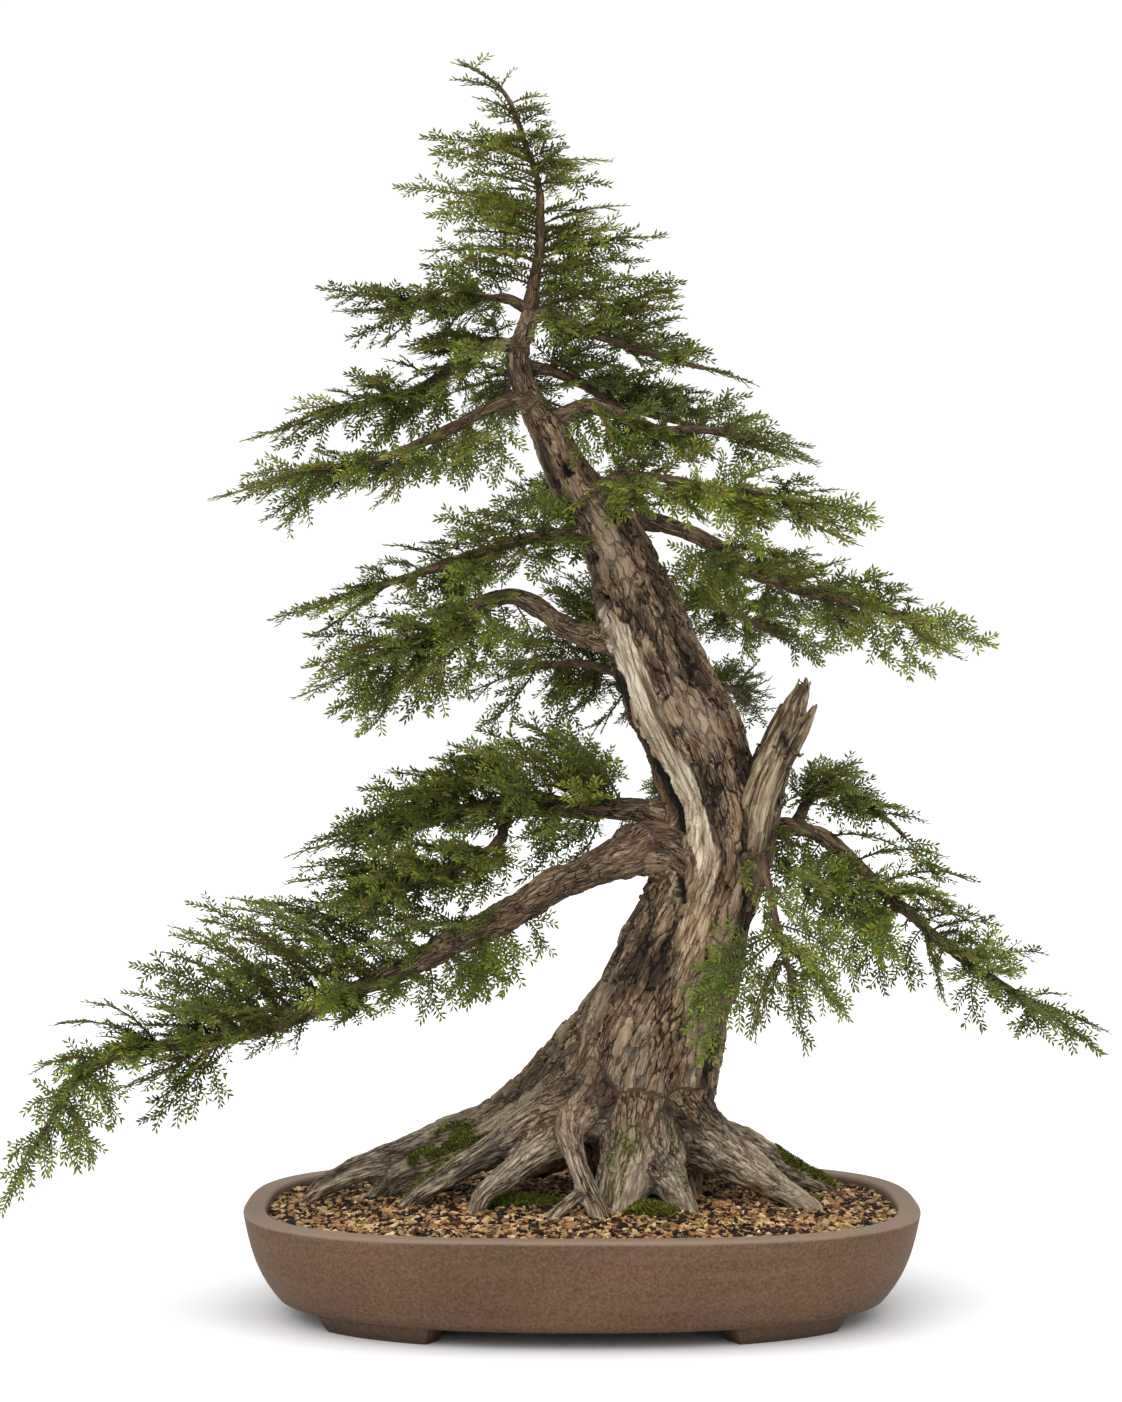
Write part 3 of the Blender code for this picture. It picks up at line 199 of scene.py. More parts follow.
# Branches from the trunk to the last thick wood. base and tip are radii, reach is the pad's half width
# across the branch, bare is the share of the line with no shoots, fill is how many inner shoots it has
# (times FILL), light makes the pad paler, and tips are the ends of the outer shoots, as x and z.
BRANCHES = {
    "left_long": dict(
        line=((0.095, 0.000, 0.347), (0.070, -0.010, 0.353), (0.030, -0.020, 0.345), (-0.005, -0.030, 0.327),
              (-0.045, -0.040, 0.303), (-0.090, -0.050, 0.285), (-0.135, -0.055, 0.262),
              (-0.190, -0.060, 0.235), (-0.240, -0.065, 0.219), (-0.290, -0.070, 0.212)),
        base=0.018, tip=0.0034, reach=0.080, bare=0.36, fill=30,
        tips=((-0.265, 0.220), (-0.282, 0.219), (-0.296, 0.224), (-0.318, 0.216), (-0.330, 0.212),
              (-0.260, 0.222), (-0.270, 0.204), (-0.290, 0.218), (-0.312, 0.206), (-0.300, 0.196),
              (-0.255, 0.236), (-0.140, 0.282), (-0.300, 0.176), (-0.316, 0.182), (-0.326, 0.192),
              (-0.335, 0.180), (-0.250, 0.290), (-0.270, 0.270), (-0.290, 0.250), (-0.310, 0.240),
              (-0.260, 0.250), (-0.240, 0.270), (-0.300, 0.280), (-0.280, 0.230), (-0.325, 0.228),
              (-0.330, 0.250), (-0.230, 0.300), (-0.215, 0.290), (-0.250, 0.216), (-0.280, 0.208),
              (-0.305, 0.214), (-0.324, 0.270), (-0.317, 0.153), (-0.312, 0.166), (-0.272, 0.192),
              (-0.234, 0.204), (-0.203, 0.215), (-0.291, 0.302), (-0.278, 0.319), (-0.252, 0.321),
              (-0.232, 0.317), (-0.201, 0.320), (-0.159, 0.234), (-0.134, 0.252), (-0.106, 0.231),
              (-0.072, 0.237), (-0.045, 0.247), (-0.066, 0.250), (-0.016, 0.278), (-0.164, 0.310),
              (-0.120, 0.312))),
    "left_long_tip": dict(
        line=((-0.280, -0.069, 0.213), (-0.330, -0.074, 0.205), (-0.365, -0.078, 0.186),
              (-0.385, -0.080, 0.156), (-0.400, -0.083, 0.128)),
        base=0.0055, tip=0.0018, reach=0.040, bare=0.15, fill=14,
        tips=((-0.350, 0.208), (-0.362, 0.196), (-0.372, 0.184), (-0.380, 0.170), (-0.388, 0.156),
              (-0.340, 0.214), (-0.330, 0.218), (-0.330, 0.215), (-0.350, 0.200), (-0.345, 0.225),
              (-0.370, 0.205), (-0.358, 0.244), (-0.380, 0.228), (-0.398, 0.191), (-0.405, 0.161),
              (-0.412, 0.130), (-0.412, 0.105), (-0.351, 0.124), (-0.364, 0.119), (-0.382, 0.119),
              (-0.347, 0.171))),
    "left_shelf": dict(
        line=((0.100, 0.010, 0.372), (0.075, 0.020, 0.386), (0.045, 0.030, 0.388), (0.015, 0.038, 0.386),
              (-0.012, 0.042, 0.390), (-0.045, 0.046, 0.389), (-0.090, 0.050, 0.380), (-0.135, 0.052, 0.364)),
        base=0.0115, tip=0.004, reach=0.080, bare=0.22, fill=30, light=0.07,
        tips=((-0.190, 0.362), (-0.170, 0.356), (-0.200, 0.358), (-0.090, 0.375), (-0.070, 0.372),
              (-0.055, 0.366), (-0.150, 0.395), (-0.130, 0.400), (-0.215, 0.349), (-0.159, 0.401),
              (-0.135, 0.414), (-0.120, 0.416), (-0.100, 0.426), (-0.087, 0.436), (-0.064, 0.448),
              (-0.035, 0.455), (-0.010, 0.452), (0.002, 0.440), (0.002, 0.342), (0.062, 0.361),
              (-0.034, 0.327), (0.031, 0.353), (-0.180, 0.372))),
    "left_lower_front": dict(
        line=((-0.045, 0.034, 0.376), (-0.050, 0.000, 0.360), (-0.080, -0.030, 0.342),
              (-0.120, -0.045, 0.326), (-0.150, -0.052, 0.318)),
        base=0.0045, tip=0.002, reach=0.055, bare=0.20, fill=24,
        tips=((-0.090, 0.315), (-0.075, 0.310), (-0.180, 0.350), (-0.150, 0.365), (-0.120, 0.362),
              (-0.080, 0.360), (-0.200, 0.345), (-0.043, 0.331), (-0.047, 0.340), (-0.062, 0.316),
              (-0.207, 0.333), (-0.193, 0.310), (-0.124, 0.291), (-0.162, 0.349), (-0.108, 0.347))),
    "left_middle": dict(
        line=((0.052, -0.012, 0.515), (0.024, -0.022, 0.522), (0.002, -0.030, 0.529), (-0.014, -0.035, 0.542),
              (-0.033, -0.040, 0.550), (-0.055, -0.045, 0.546), (-0.080, -0.052, 0.532),
              (-0.115, -0.060, 0.516), (-0.155, -0.068, 0.500)),
        base=0.0105, tip=0.003, reach=0.070, bare=0.44, fill=18,
        tips=((-0.150, 0.535), (-0.140, 0.530), (-0.130, 0.527), (-0.165, 0.458), (-0.150, 0.462),
              (-0.142, 0.452), (-0.060, 0.500), (-0.035, 0.492), (-0.130, 0.545), (-0.115, 0.535),
              (-0.193, 0.497), (-0.200, 0.474), (-0.173, 0.462), (-0.151, 0.446), (-0.118, 0.458),
              (-0.100, 0.464), (-0.176, 0.510), (-0.077, 0.479), (-0.192, 0.521))),
    "left_middle_upper": dict(
        line=((0.036, -0.012, 0.602), (0.010, -0.022, 0.600), (-0.035, -0.032, 0.592),
              (-0.080, -0.038, 0.578), (-0.125, -0.042, 0.563), (-0.160, -0.046, 0.553)),
        base=0.0065, tip=0.0025, reach=0.068, bare=0.12, fill=20,
        tips=((-0.110, 0.548), (-0.085, 0.555), (-0.060, 0.560), (-0.010, 0.590), (0.012, 0.580),
              (-0.092, 0.610), (-0.049, 0.626), (-0.021, 0.632), (-0.132, 0.590), (-0.155, 0.574),
              (-0.170, 0.556), (-0.223, 0.534), (-0.192, 0.521), (-0.100, 0.530), (-0.020, 0.565))),
    "left_upper": dict(
        line=((-0.028, 0.000, 0.742), (-0.050, -0.005, 0.748), (-0.080, -0.012, 0.733),
              (-0.110, -0.018, 0.712), (-0.145, -0.022, 0.703), (-0.185, -0.026, 0.693)),
        base=0.0062, tip=0.0022, reach=0.062, bare=0.12, fill=17,
        tips=((-0.110, 0.752), (-0.120, 0.742), (-0.100, 0.757), (-0.190, 0.682), (-0.170, 0.686),
              (-0.130, 0.681), (-0.120, 0.696), (-0.150, 0.690), (-0.160, 0.675), (-0.140, 0.670),
              (-0.060, 0.765), (-0.090, 0.750), (-0.075, 0.700), (-0.055, 0.690), (-0.100, 0.690),
              (-0.045, 0.730), (-0.245, 0.672), (-0.196, 0.690), (-0.207, 0.693), (-0.163, 0.722),
              (-0.134, 0.736), (-0.176, 0.707), (-0.109, 0.669), (-0.151, 0.661), (-0.220, 0.668))),
    "left_upper_low": dict(
        line=((-0.018, -0.006, 0.700), (-0.045, -0.018, 0.700), (-0.080, -0.034, 0.682),
              (-0.125, -0.050, 0.660), (-0.170, -0.060, 0.648), (-0.205, -0.064, 0.640)),
        base=0.0062, tip=0.0022, reach=0.062, bare=0.20, fill=18,
        tips=((-0.263, 0.624), (-0.227, 0.610), (-0.213, 0.603), (-0.142, 0.618), (-0.074, 0.636),
              (-0.052, 0.637), (-0.176, 0.639), (-0.238, 0.641), (-0.110, 0.640))),
    "left_top": dict(
        line=((-0.026, 0.003, 0.776), (-0.045, 0.000, 0.784), (-0.075, -0.006, 0.782),
              (-0.110, -0.010, 0.781), (-0.140, -0.014, 0.784)),
        base=0.0040, tip=0.0018, reach=0.055, bare=0.18, fill=14,
        tips=((-0.100, 0.800), (-0.080, 0.797), (-0.115, 0.786), (-0.185, 0.788), (-0.173, 0.771),
              (-0.162, 0.751), (-0.143, 0.750), (-0.094, 0.806), (-0.063, 0.808), (-0.100, 0.752),
              (-0.060, 0.760))),
    "right_top": dict(
        line=((-0.024, 0.002, 0.768), (-0.004, -0.005, 0.774), (0.018, -0.012, 0.758), (0.050, -0.018, 0.745),
              (0.090, -0.022, 0.733), (0.110, -0.024, 0.728)),
        base=0.0050, tip=0.0018, reach=0.060, bare=0.1, fill=14,
        tips=((-0.005, 0.755), (0.006, 0.745), (0.002, 0.766), (0.020, 0.752), (0.090, 0.790), (0.090, 0.773),
              (0.086, 0.763), (0.083, 0.750), (0.103, 0.745), (0.112, 0.737), (0.130, 0.725),
              (0.060, 0.775))),
    "right_upper": dict(
        line=((-0.030, 0.004, 0.732), (-0.010, 0.018, 0.730), (0.015, 0.032, 0.720), (0.055, 0.048, 0.704),
              (0.105, 0.058, 0.690), (0.150, 0.062, 0.678)),
        base=0.0055, tip=0.0018, reach=0.066, bare=0.12, fill=16,
        tips=((0.055, 0.725), (0.070, 0.720), (0.085, 0.722), (0.010, 0.765), (0.035, 0.768), (0.055, 0.750),
              (0.020, 0.735), (0.045, 0.722), (0.148, 0.714), (0.141, 0.708), (0.163, 0.696), (0.180, 0.684),
              (0.106, 0.722), (0.070, 0.700))),
    "right_middle": dict(
        line=((-0.002, -0.008, 0.690), (0.018, -0.015, 0.697), (0.040, -0.022, 0.693), (0.075, -0.030, 0.680),
              (0.110, -0.036, 0.679), (0.150, -0.042, 0.671)),
        base=0.0072, tip=0.0022, reach=0.056, bare=0.12, fill=14,
        tips=((0.080, 0.655), (0.100, 0.661), (0.120, 0.655), (0.060, 0.652), (0.030, 0.668), (0.045, 0.655),
              (0.052, 0.680), (0.024, 0.655), (0.197, 0.655), (0.191, 0.667), (0.107, 0.706), (0.153, 0.690),
              (0.060, 0.660), (0.105, 0.652), (0.150, 0.648))),
    "right_front": dict(
        line=((0.024, -0.016, 0.628), (0.040, -0.055, 0.640), (0.068, -0.090, 0.638), (0.110, -0.115, 0.630),
              (0.154, -0.128, 0.622), (0.188, -0.134, 0.617)),
        base=0.0055, tip=0.0018, reach=0.062, bare=0.15, fill=24, light=0.16,
        tips=((0.090, 0.616), (0.112, 0.613), (0.160, 0.605), (0.172, 0.600), (0.150, 0.598), (0.170, 0.610),
              (0.185, 0.600), (0.161, 0.644), (0.206, 0.628), (0.233, 0.605), (0.221, 0.595), (0.217, 0.585),
              (0.004, 0.616), (0.000, 0.630), (0.021, 0.605), (0.044, 0.609), (0.066, 0.612), (0.108, 0.603),
              (0.147, 0.580), (0.110, 0.660), (0.060, 0.668))),
    "right_long": dict(
        line=((0.045, -0.002, 0.600), (0.062, 0.004, 0.613), (0.090, 0.006, 0.606), (0.128, 0.006, 0.590),
              (0.155, 0.005, 0.568), (0.195, 0.002, 0.556), (0.240, 0.000, 0.545), (0.285, -0.004, 0.534)),
        base=0.0085, tip=0.0022, reach=0.078, bare=0.36, fill=24, light=0.14,
        tips=((0.150, 0.600), (0.170, 0.590), (0.190, 0.580), (0.165, 0.575), (0.200, 0.570), (0.254, 0.569),
              (0.269, 0.557), (0.275, 0.549), (0.275, 0.539), (0.335, 0.514), (0.314, 0.504), (0.289, 0.492),
              (0.255, 0.499), (0.218, 0.511), (0.184, 0.533), (0.145, 0.530), (0.107, 0.536), (0.100, 0.575),
              (0.082, 0.540), (0.220, 0.580))),
    "right_back": dict(
        line=((0.070, 0.012, 0.530), (0.090, 0.048, 0.545), (0.120, 0.085, 0.546), (0.155, 0.112, 0.535),
              (0.180, 0.128, 0.524)),
        base=0.0055, tip=0.0020, reach=0.065, bare=0.30, fill=12,
        tips=((0.225, 0.512), (0.205, 0.545), (0.170, 0.565), (0.120, 0.570), (0.110, 0.520),
              (0.160, 0.505))),
    "right_back_low": dict(
        line=((0.100, 0.018, 0.460), (0.118, 0.055, 0.478), (0.138, 0.090, 0.480), (0.152, 0.120, 0.470)),
        base=0.0045, tip=0.0018, reach=0.045, bare=0.32, fill=6,
        tips=((0.164, 0.491), (0.158, 0.462), (0.144, 0.504), (0.172, 0.474), (0.125, 0.498))),
    "right_low": dict(
        line=((0.130, 0.005, 0.352), (0.172, 0.006, 0.372), (0.200, 0.004, 0.366), (0.235, -0.002, 0.338),
              (0.270, -0.008, 0.306), (0.310, -0.014, 0.274), (0.350, -0.020, 0.246), (0.380, -0.024, 0.227)),
        base=0.0085, tip=0.0022, reach=0.076, bare=0.12, fill=22,
        tips=((0.170, 0.345), (0.178, 0.335), (0.172, 0.320), (0.340, 0.236), (0.360, 0.232), (0.374, 0.226),
              (0.280, 0.300), (0.300, 0.285), (0.330, 0.286), (0.345, 0.276), (0.326, 0.271), (0.350, 0.262),
              (0.190, 0.400), (0.185, 0.370), (0.195, 0.340), (0.180, 0.320), (0.190, 0.290), (0.205, 0.270),
              (0.215, 0.330), (0.420, 0.217), (0.420, 0.199), (0.389, 0.245), (0.371, 0.277), (0.342, 0.296),
              (0.323, 0.305), (0.300, 0.319), (0.318, 0.333), (0.261, 0.358), (0.296, 0.351), (0.372, 0.214),
              (0.362, 0.217), (0.326, 0.219), (0.297, 0.238), (0.274, 0.248), (0.251, 0.246), (0.229, 0.248),
              (0.210, 0.300))),
    "right_low_upper": dict(
        line=((0.186, 0.018, 0.377), (0.196, 0.040, 0.392), (0.222, 0.055, 0.398), (0.255, 0.065, 0.380),
              (0.275, 0.070, 0.362)),
        base=0.0045, tip=0.0018, reach=0.055, bare=0.20, fill=12,
        tips=((0.255, 0.379), (0.265, 0.372), (0.242, 0.372), (0.236, 0.389), (0.246, 0.380), (0.210, 0.390),
              (0.230, 0.385), (0.222, 0.375), (0.234, 0.423), (0.242, 0.414), (0.265, 0.386), (0.291, 0.374),
              (0.206, 0.424), (0.182, 0.414), (0.200, 0.370))),
    "right_low_front": dict(
        line=((0.142, -0.030, 0.350), (0.152, -0.060, 0.350), (0.158, -0.092, 0.325), (0.164, -0.112, 0.290),
              (0.172, -0.122, 0.258)),
        base=0.0042, tip=0.0018, reach=0.045, bare=0.18, fill=2,
        tips=((0.139, 0.335), (0.155, 0.250), (0.140, 0.224), (0.185, 0.300), (0.190, 0.270), (0.200, 0.250),
              (0.186, 0.236), (0.208, 0.240), (0.156, 0.360), (0.097, 0.238), (0.103, 0.205), (0.143, 0.222),
              (0.173, 0.232), (0.213, 0.236), (0.202, 0.323), (0.112, 0.264), (0.215, 0.270))),
    "back_left": dict(
        line=((0.080, 0.022, 0.470), (0.055, 0.058, 0.486), (0.025, 0.085, 0.500), (-0.010, 0.105, 0.500),
              (-0.045, 0.118, 0.490)),
        base=0.0060, tip=0.0020, reach=0.060, bare=0.28, fill=14,
        tips=((-0.015, 0.570), (0.000, 0.576), (0.012, 0.566), (0.000, 0.556), (-0.020, 0.476),
              (-0.012, 0.466), (0.000, 0.470), (-0.006, 0.490), (0.010, 0.480), (0.020, 0.585),
              (0.005, 0.560), (0.030, 0.545), (-0.066, 0.450), (-0.009, 0.443), (0.019, 0.449),
              (0.045, 0.455), (-0.045, 0.480), (0.000, 0.548), (-0.088, 0.497), (-0.055, 0.530),
              (0.035, 0.530))),
    "back_low": dict(
        line=((0.120, 0.030, 0.385), (0.118, 0.066, 0.412), (0.106, 0.098, 0.416), (0.090, 0.128, 0.402),
              (0.078, 0.145, 0.388)),
        base=0.0090, tip=0.0025, reach=0.070, bare=0.30, fill=14,
        tips=((0.066, 0.398), (0.076, 0.380), (0.100, 0.372), (0.140, 0.385), (0.155, 0.410), (0.130, 0.440),
              (0.090, 0.412), (0.070, 0.400))),
    "back_upper": dict(
        line=((0.030, 0.008, 0.618), (0.022, 0.050, 0.634), (0.018, 0.090, 0.632), (0.018, 0.130, 0.615)),
        base=0.0060, tip=0.0020, reach=0.070, bare=0.30, fill=14,
        tips=((-0.050, 0.622), (-0.030, 0.600), (0.020, 0.590), (0.070, 0.600), (0.085, 0.628),
              (0.050, 0.655), (-0.015, 0.655))),
    "back_top": dict(
        line=((-0.028, 0.004, 0.712), (-0.036, 0.035, 0.724), (-0.042, 0.065, 0.722), (-0.046, 0.095, 0.712)),
        base=0.0040, tip=0.0018, reach=0.060, bare=0.30, fill=12,
        tips=((-0.095, 0.715), (-0.080, 0.695), (-0.040, 0.690), (0.005, 0.700), (0.015, 0.722),
              (-0.020, 0.745), (-0.070, 0.742))),
}

# Shoots round the leader, from the top down: x and z of their ends. Those above split are the top pad.
APEX_SPLIT = 0.868
APEX_TIPS = (
    (-0.082, 0.965), (-0.058, 0.972), (-0.083, 0.955), (-0.038, 0.960), (-0.014, 0.942), (-0.065, 0.940),
    (-0.061, 0.929), (-0.012, 0.928), (-0.065, 0.911), (-0.002, 0.911), (-0.104, 0.904), (-0.097, 0.894),
    (0.037, 0.893), (0.036, 0.876), (-0.126, 0.867), (-0.103, 0.854), (0.050, 0.856), (0.082, 0.837),
    (-0.107, 0.825), (-0.107, 0.811), (0.065, 0.815), (0.092, 0.792), (0.075, 0.802), (-0.080, 0.838),
    (0.030, 0.845), (0.060, 0.830), (-0.070, 0.880), (0.010, 0.890),
)

# Moss on the soil between the roots: x, y, half length, half width and height.
MOSS_PATCHES = {
    "moss_front_left": (-0.032, -0.050, 0.034, 0.017, 0.009),
    "moss_front_centre": (0.066, -0.084, 0.022, 0.014, 0.010),
    "moss_right": (0.178, 0.004, 0.024, 0.016, 0.007),
}


def shade(red, green, blue):
    """A colour given as it looks on a chart, 0 to 255, in the linear values that a shader takes."""
    def linear(value):
        value /= 255
        return value / 12.92 if value <= 0.04045 else ((value + 0.055) / 1.055) ** 2.4
    return (linear(red), linear(green), linear(blue), 1.0)


class NodeMaker:
    """A node tree being built, with short words for the nodes that every tree uses."""

    def add(self, kind, inputs=None, **settings):
        """A new node. Each input takes a value, or the socket that feeds it."""
        made = self.tree.nodes.new(kind)
        for key, value in settings.items():
            setattr(made, key, value)
        for key, value in (inputs or {}).items():
            if isinstance(value, bpy.types.NodeSocket):
                self.tree.links.new(value, made.inputs[key])
            else:
                made.inputs[key].default_value = value
        return made

    def sums(self, operation, first, second=0.0):
        return self.add("ShaderNodeMath", {0: first, 1: second}, operation=operation).outputs[0]

    def plus(self, first, second):
        return self.sums("ADD", first, second)

    def minus(self, first, second):
        return self.sums("SUBTRACT", first, second)

    def times(self, first, second):
        return self.sums("MULTIPLY", first, second)

    def vectors(self, operation, first, second=None, scale=None):
        inputs = {0: first}
        if second is not None:
            inputs[1] = second
        if scale is not None:
            inputs["Scale"] = scale
        return self.add("ShaderNodeVectorMath", inputs, operation=operation).outputs[0]


class Finish(NodeMaker):
    """A material being made up, with short words for the patterns that it is mixed from."""

    def __init__(self, name, roughness, gloss=0.3):
        self.material = bpy.data.materials.new(name)
        self.material.use_nodes = True
        self.tree = self.material.node_tree
        self.shader = self.tree.nodes["Principled BSDF"]
        self.shader.inputs["Roughness"].default_value = roughness
        self.shader.inputs["Specular IOR Level"].default_value = gloss

    def object_place(self):
        return self.add("ShaderNodeTexCoord").outputs["Object"]

    def attribute(self, name, output="Fac"):
        return self.add("ShaderNodeAttribute", attribute_name=name).outputs[output]

    def own_map(self):
        """The two coordinates of the piece's own map."""
        spot = self.add("ShaderNodeUVMap", uv_map=OWN_MAP).outputs[0]
        return self.add("ShaderNodeSeparateXYZ", {0: spot}).outputs

    def noise(self, place, scale, detail=3.0, rough=0.55):
        made = self.add("ShaderNodeTexNoise", {"Vector": place, "Scale": scale, "Detail": detail,
                                               "Roughness": rough})
        return made.outputs[0]

    def streaks(self, place, scale, detail=3.0, rough=0.55):
        """Noise with a scale of its own along each axis."""
        drawn = self.add("ShaderNodeMapping", {"Vector": place, "Scale": scale}).outputs[0]
        return self.noise(drawn, 1.0, detail, rough)

    def cells(self, place, scale, output="Distance"):
        return self.add("ShaderNodeTexVoronoi", {"Vector": place, "Scale": scale}).outputs[output]

    def between(self, value, low, high):
        """0 below low, 1 above high and even in between."""
        made = self.add("ShaderNodeMapRange", {"Value": value, "From Min": low, "From Max": high})
        return made.outputs[0]

    def ramp(self, value, *stops):
        made = self.add("ShaderNodeValToRGB", {"Fac": value})
        ends = made.color_ramp.elements
        while len(ends) < len(stops):
            ends.new(0.5)
        for end, (at, colour) in zip(ends, stops):
            end.position = at
            end.color = colour
        return made.outputs["Color"]

    def mix(self, share, first, second, blend="MIX"):
        made = self.add("ShaderNodeMix", {0: share, 6: first, 7: second}, data_type="RGBA", blend_type=blend)
        return made.outputs[2]

    def done(self, colour, height=None, depth=0.001, strength=1.0):
        """Joins the colour, and a bump if there is one, to the shader."""
        self.tree.links.new(colour, self.shader.inputs["Base Color"])
        if height is not None:
            bump = self.add("ShaderNodeBump", {"Height": height, "Distance": depth, "Strength": strength})
            self.tree.links.new(bump.outputs[0], self.shader.inputs["Normal"])
        return self.material


def finish_piece(name, mesh, slot, replaced, *materials):
    """Puts a finished mesh in the scene as a piece that rides on the body."""
    mesh.name = name
    piece = bpy.data.objects.new(name, mesh)
    bpy.context.scene.collection.objects.link(piece)
    for material in materials:
        mesh.materials.append(material)
    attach(piece, BODY)
    if replaced:
        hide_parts(*replaced)
    return piece


def plain_mesh(name, places, faces, smooth=True):
    mesh = bpy.data.meshes.new(name)
    mesh.from_pydata([tuple(place) for place in places], [], faces)
    mesh.update()
    if smooth:
        mesh.shade_smooth()
    return mesh


def evaluated_copy(obj):
    """The object's mesh with its modifiers applied, as a plain mesh; the object is removed."""
    bpy.context.view_layer.update()
    graph = bpy.context.evaluated_depsgraph_get()
    mesh = bpy.data.meshes.new_from_object(obj.evaluated_get(graph), depsgraph=graph)
    bpy.data.objects.remove(obj)
    return mesh


def helper_object(name, mesh):
    obj = bpy.data.objects.new(name, mesh)
    bpy.context.scene.collection.objects.link(obj)
    return obj


# Patterns in numbers, for relief that is modelled rather than painted.

def chance(cell, salt):
    """A fixed random number from 0 to 1 for each whole-number cell."""
    mixed = (cell[:, 0] * 73856093) ^ (cell[:, 1] * 19349663) ^ (cell[:, 2] * 83492791) ^ (salt * 40503)
    mixed = ((mixed & 0xFFFFFFFF) ^ ((mixed & 0xFFFFFFFF) >> 13)) * 1274126177 & 0xFFFFFFFF
    return ((mixed ^ (mixed >> 16)) & 0xFFFFFF) / 0xFFFFFF


def ripple(places, salt=0):
    """Smooth random waves from -1 to 1, about one to each unit."""
    home = np.floor(places).astype(np.int64)
    part = places - home
    part = part * part * (3 - 2 * part)
    total = np.zeros(len(places))
    for step in itertools.product((0, 1), repeat=3):
        share = np.prod(np.where(np.array(step) == 1, part, 1 - part), axis=1)
        total += share * chance(home + step, salt)
    return 2 * total - 1


def rough(places, salt=0, octaves=3):
    """Ripples of several sizes added up, from about -1 to 1."""
    return sum(ripple(places * 2**k, salt + k) / 2**k for k in range(octaves)) / 1.5


def ease(value, low, high):
    """0 below low, 1 above high and a smooth step in between."""
    share = np.clip((value - low) / (high - low), 0.0, 1.0)
    return share * share * (3 - 2 * share)


# Lines and limbs.

def smooth_path(points, spacing):
    """The rows joined by one smooth curve and read off at even distances along it."""
    rows = np.array([points[0], *points, points[-1]], dtype=float)
    dense = []
    for a, b, c, d in zip(rows, rows[1:], rows[2:], rows[3:]):
        for t in np.linspace(0, 1, 12, endpoint=False):
            dense.append(0.5 * (2 * b + (c - a) * t + (2 * a - 5 * b + 4 * c - d) * t**2
                                + (3 * b - a - 3 * c + d) * t**3))
    dense = np.array([*dense, rows[-1]])
    run = np.concatenate([[0.0], np.cumsum(np.linalg.norm(np.diff(dense[:, :3], axis=0), axis=1))])
    stations = np.linspace(0, run[-1], max(4, round(run[-1] / spacing) + 1))
    return np.stack([np.interp(stations, run, column) for column in dense.T], axis=1)


def run_of(path):
    """The distance along a path at each of its points."""
    return np.concatenate([[0.0], np.cumsum(np.linalg.norm(np.diff(path[:, :3], axis=0), axis=1))])


def carried_frames(path):
    """Unit vectors ahead, beside and over at each point, carried along without twisting."""
    ahead = np.gradient(path, axis=0)
    ahead /= np.linalg.norm(ahead, axis=1, keepdims=True)
    first = np.cross(ahead[0], (0.0, 1.0, 0.0))
    if np.linalg.norm(first) < 0.2:
        first = np.cross(ahead[0], (1.0, 0.0, 0.0))
    beside = [first / np.linalg.norm(first)]
    for way in ahead[1:]:
        turned = beside[-1] - way * beside[-1].dot(way)
        beside.append(turned / np.linalg.norm(turned))
    beside = np.array(beside)
    return ahead, beside, np.cross(ahead, beside)


def tube(path, sides, radii=None):
    """Places and faces of a closed tube along the path. radii may be one for each point of each ring."""
    centre = path[:, :3]
    radii = path[:, 3, None] if radii is None else radii
    ahead, beside, over = carried_frames(centre)
    turn = np.linspace(0, math.tau, sides, endpoint=False)[None, :, None]
    ring = beside[:, None] * np.cos(turn) + over[:, None] * np.sin(turn)
    places = (centre[:, None] + ring * (radii * np.ones((1, sides)))[:, :, None]).reshape(-1, 3)
    ends = [centre[0] - ahead[0] * path[0, 3] * 0.5, centre[-1] + ahead[-1] * path[-1, 3]]
    count = len(centre)
    faces = ring_faces(count, sides)
    base, tip, last = count * sides, count * sides + 1, (count - 1) * sides
    faces += [(base, (k + 1) % sides, k) for k in range(sides)]
    faces += [(tip, last + k, last + (k + 1) % sides) for k in range(sides)]
    return np.concatenate([places, ends]), faces


def ring_faces(rings, sides):
    """The four-sided faces that join each ring of points to the next."""
    return [(i * sides + k, i * sides + n, (i + 1) * sides + n, (i + 1) * sides + k)
            for i in range(rings - 1) for k in range(sides) for n in [(k + 1) % sides]]


def face_outwards(mesh):
    work = bmesh.new()
    work.from_mesh(mesh)
    bmesh.ops.recalc_face_normals(work, faces=work.faces)
    work.to_mesh(mesh)
    work.free()


def joined(parts):
    """Several sets of places and faces as one."""
    places, faces, start = [], [], 0
    for some, sides in parts:
        places.append(some)
        faces += [tuple(i + start for i in face) for face in sides]
        start += len(some)
    return np.concatenate(places), faces


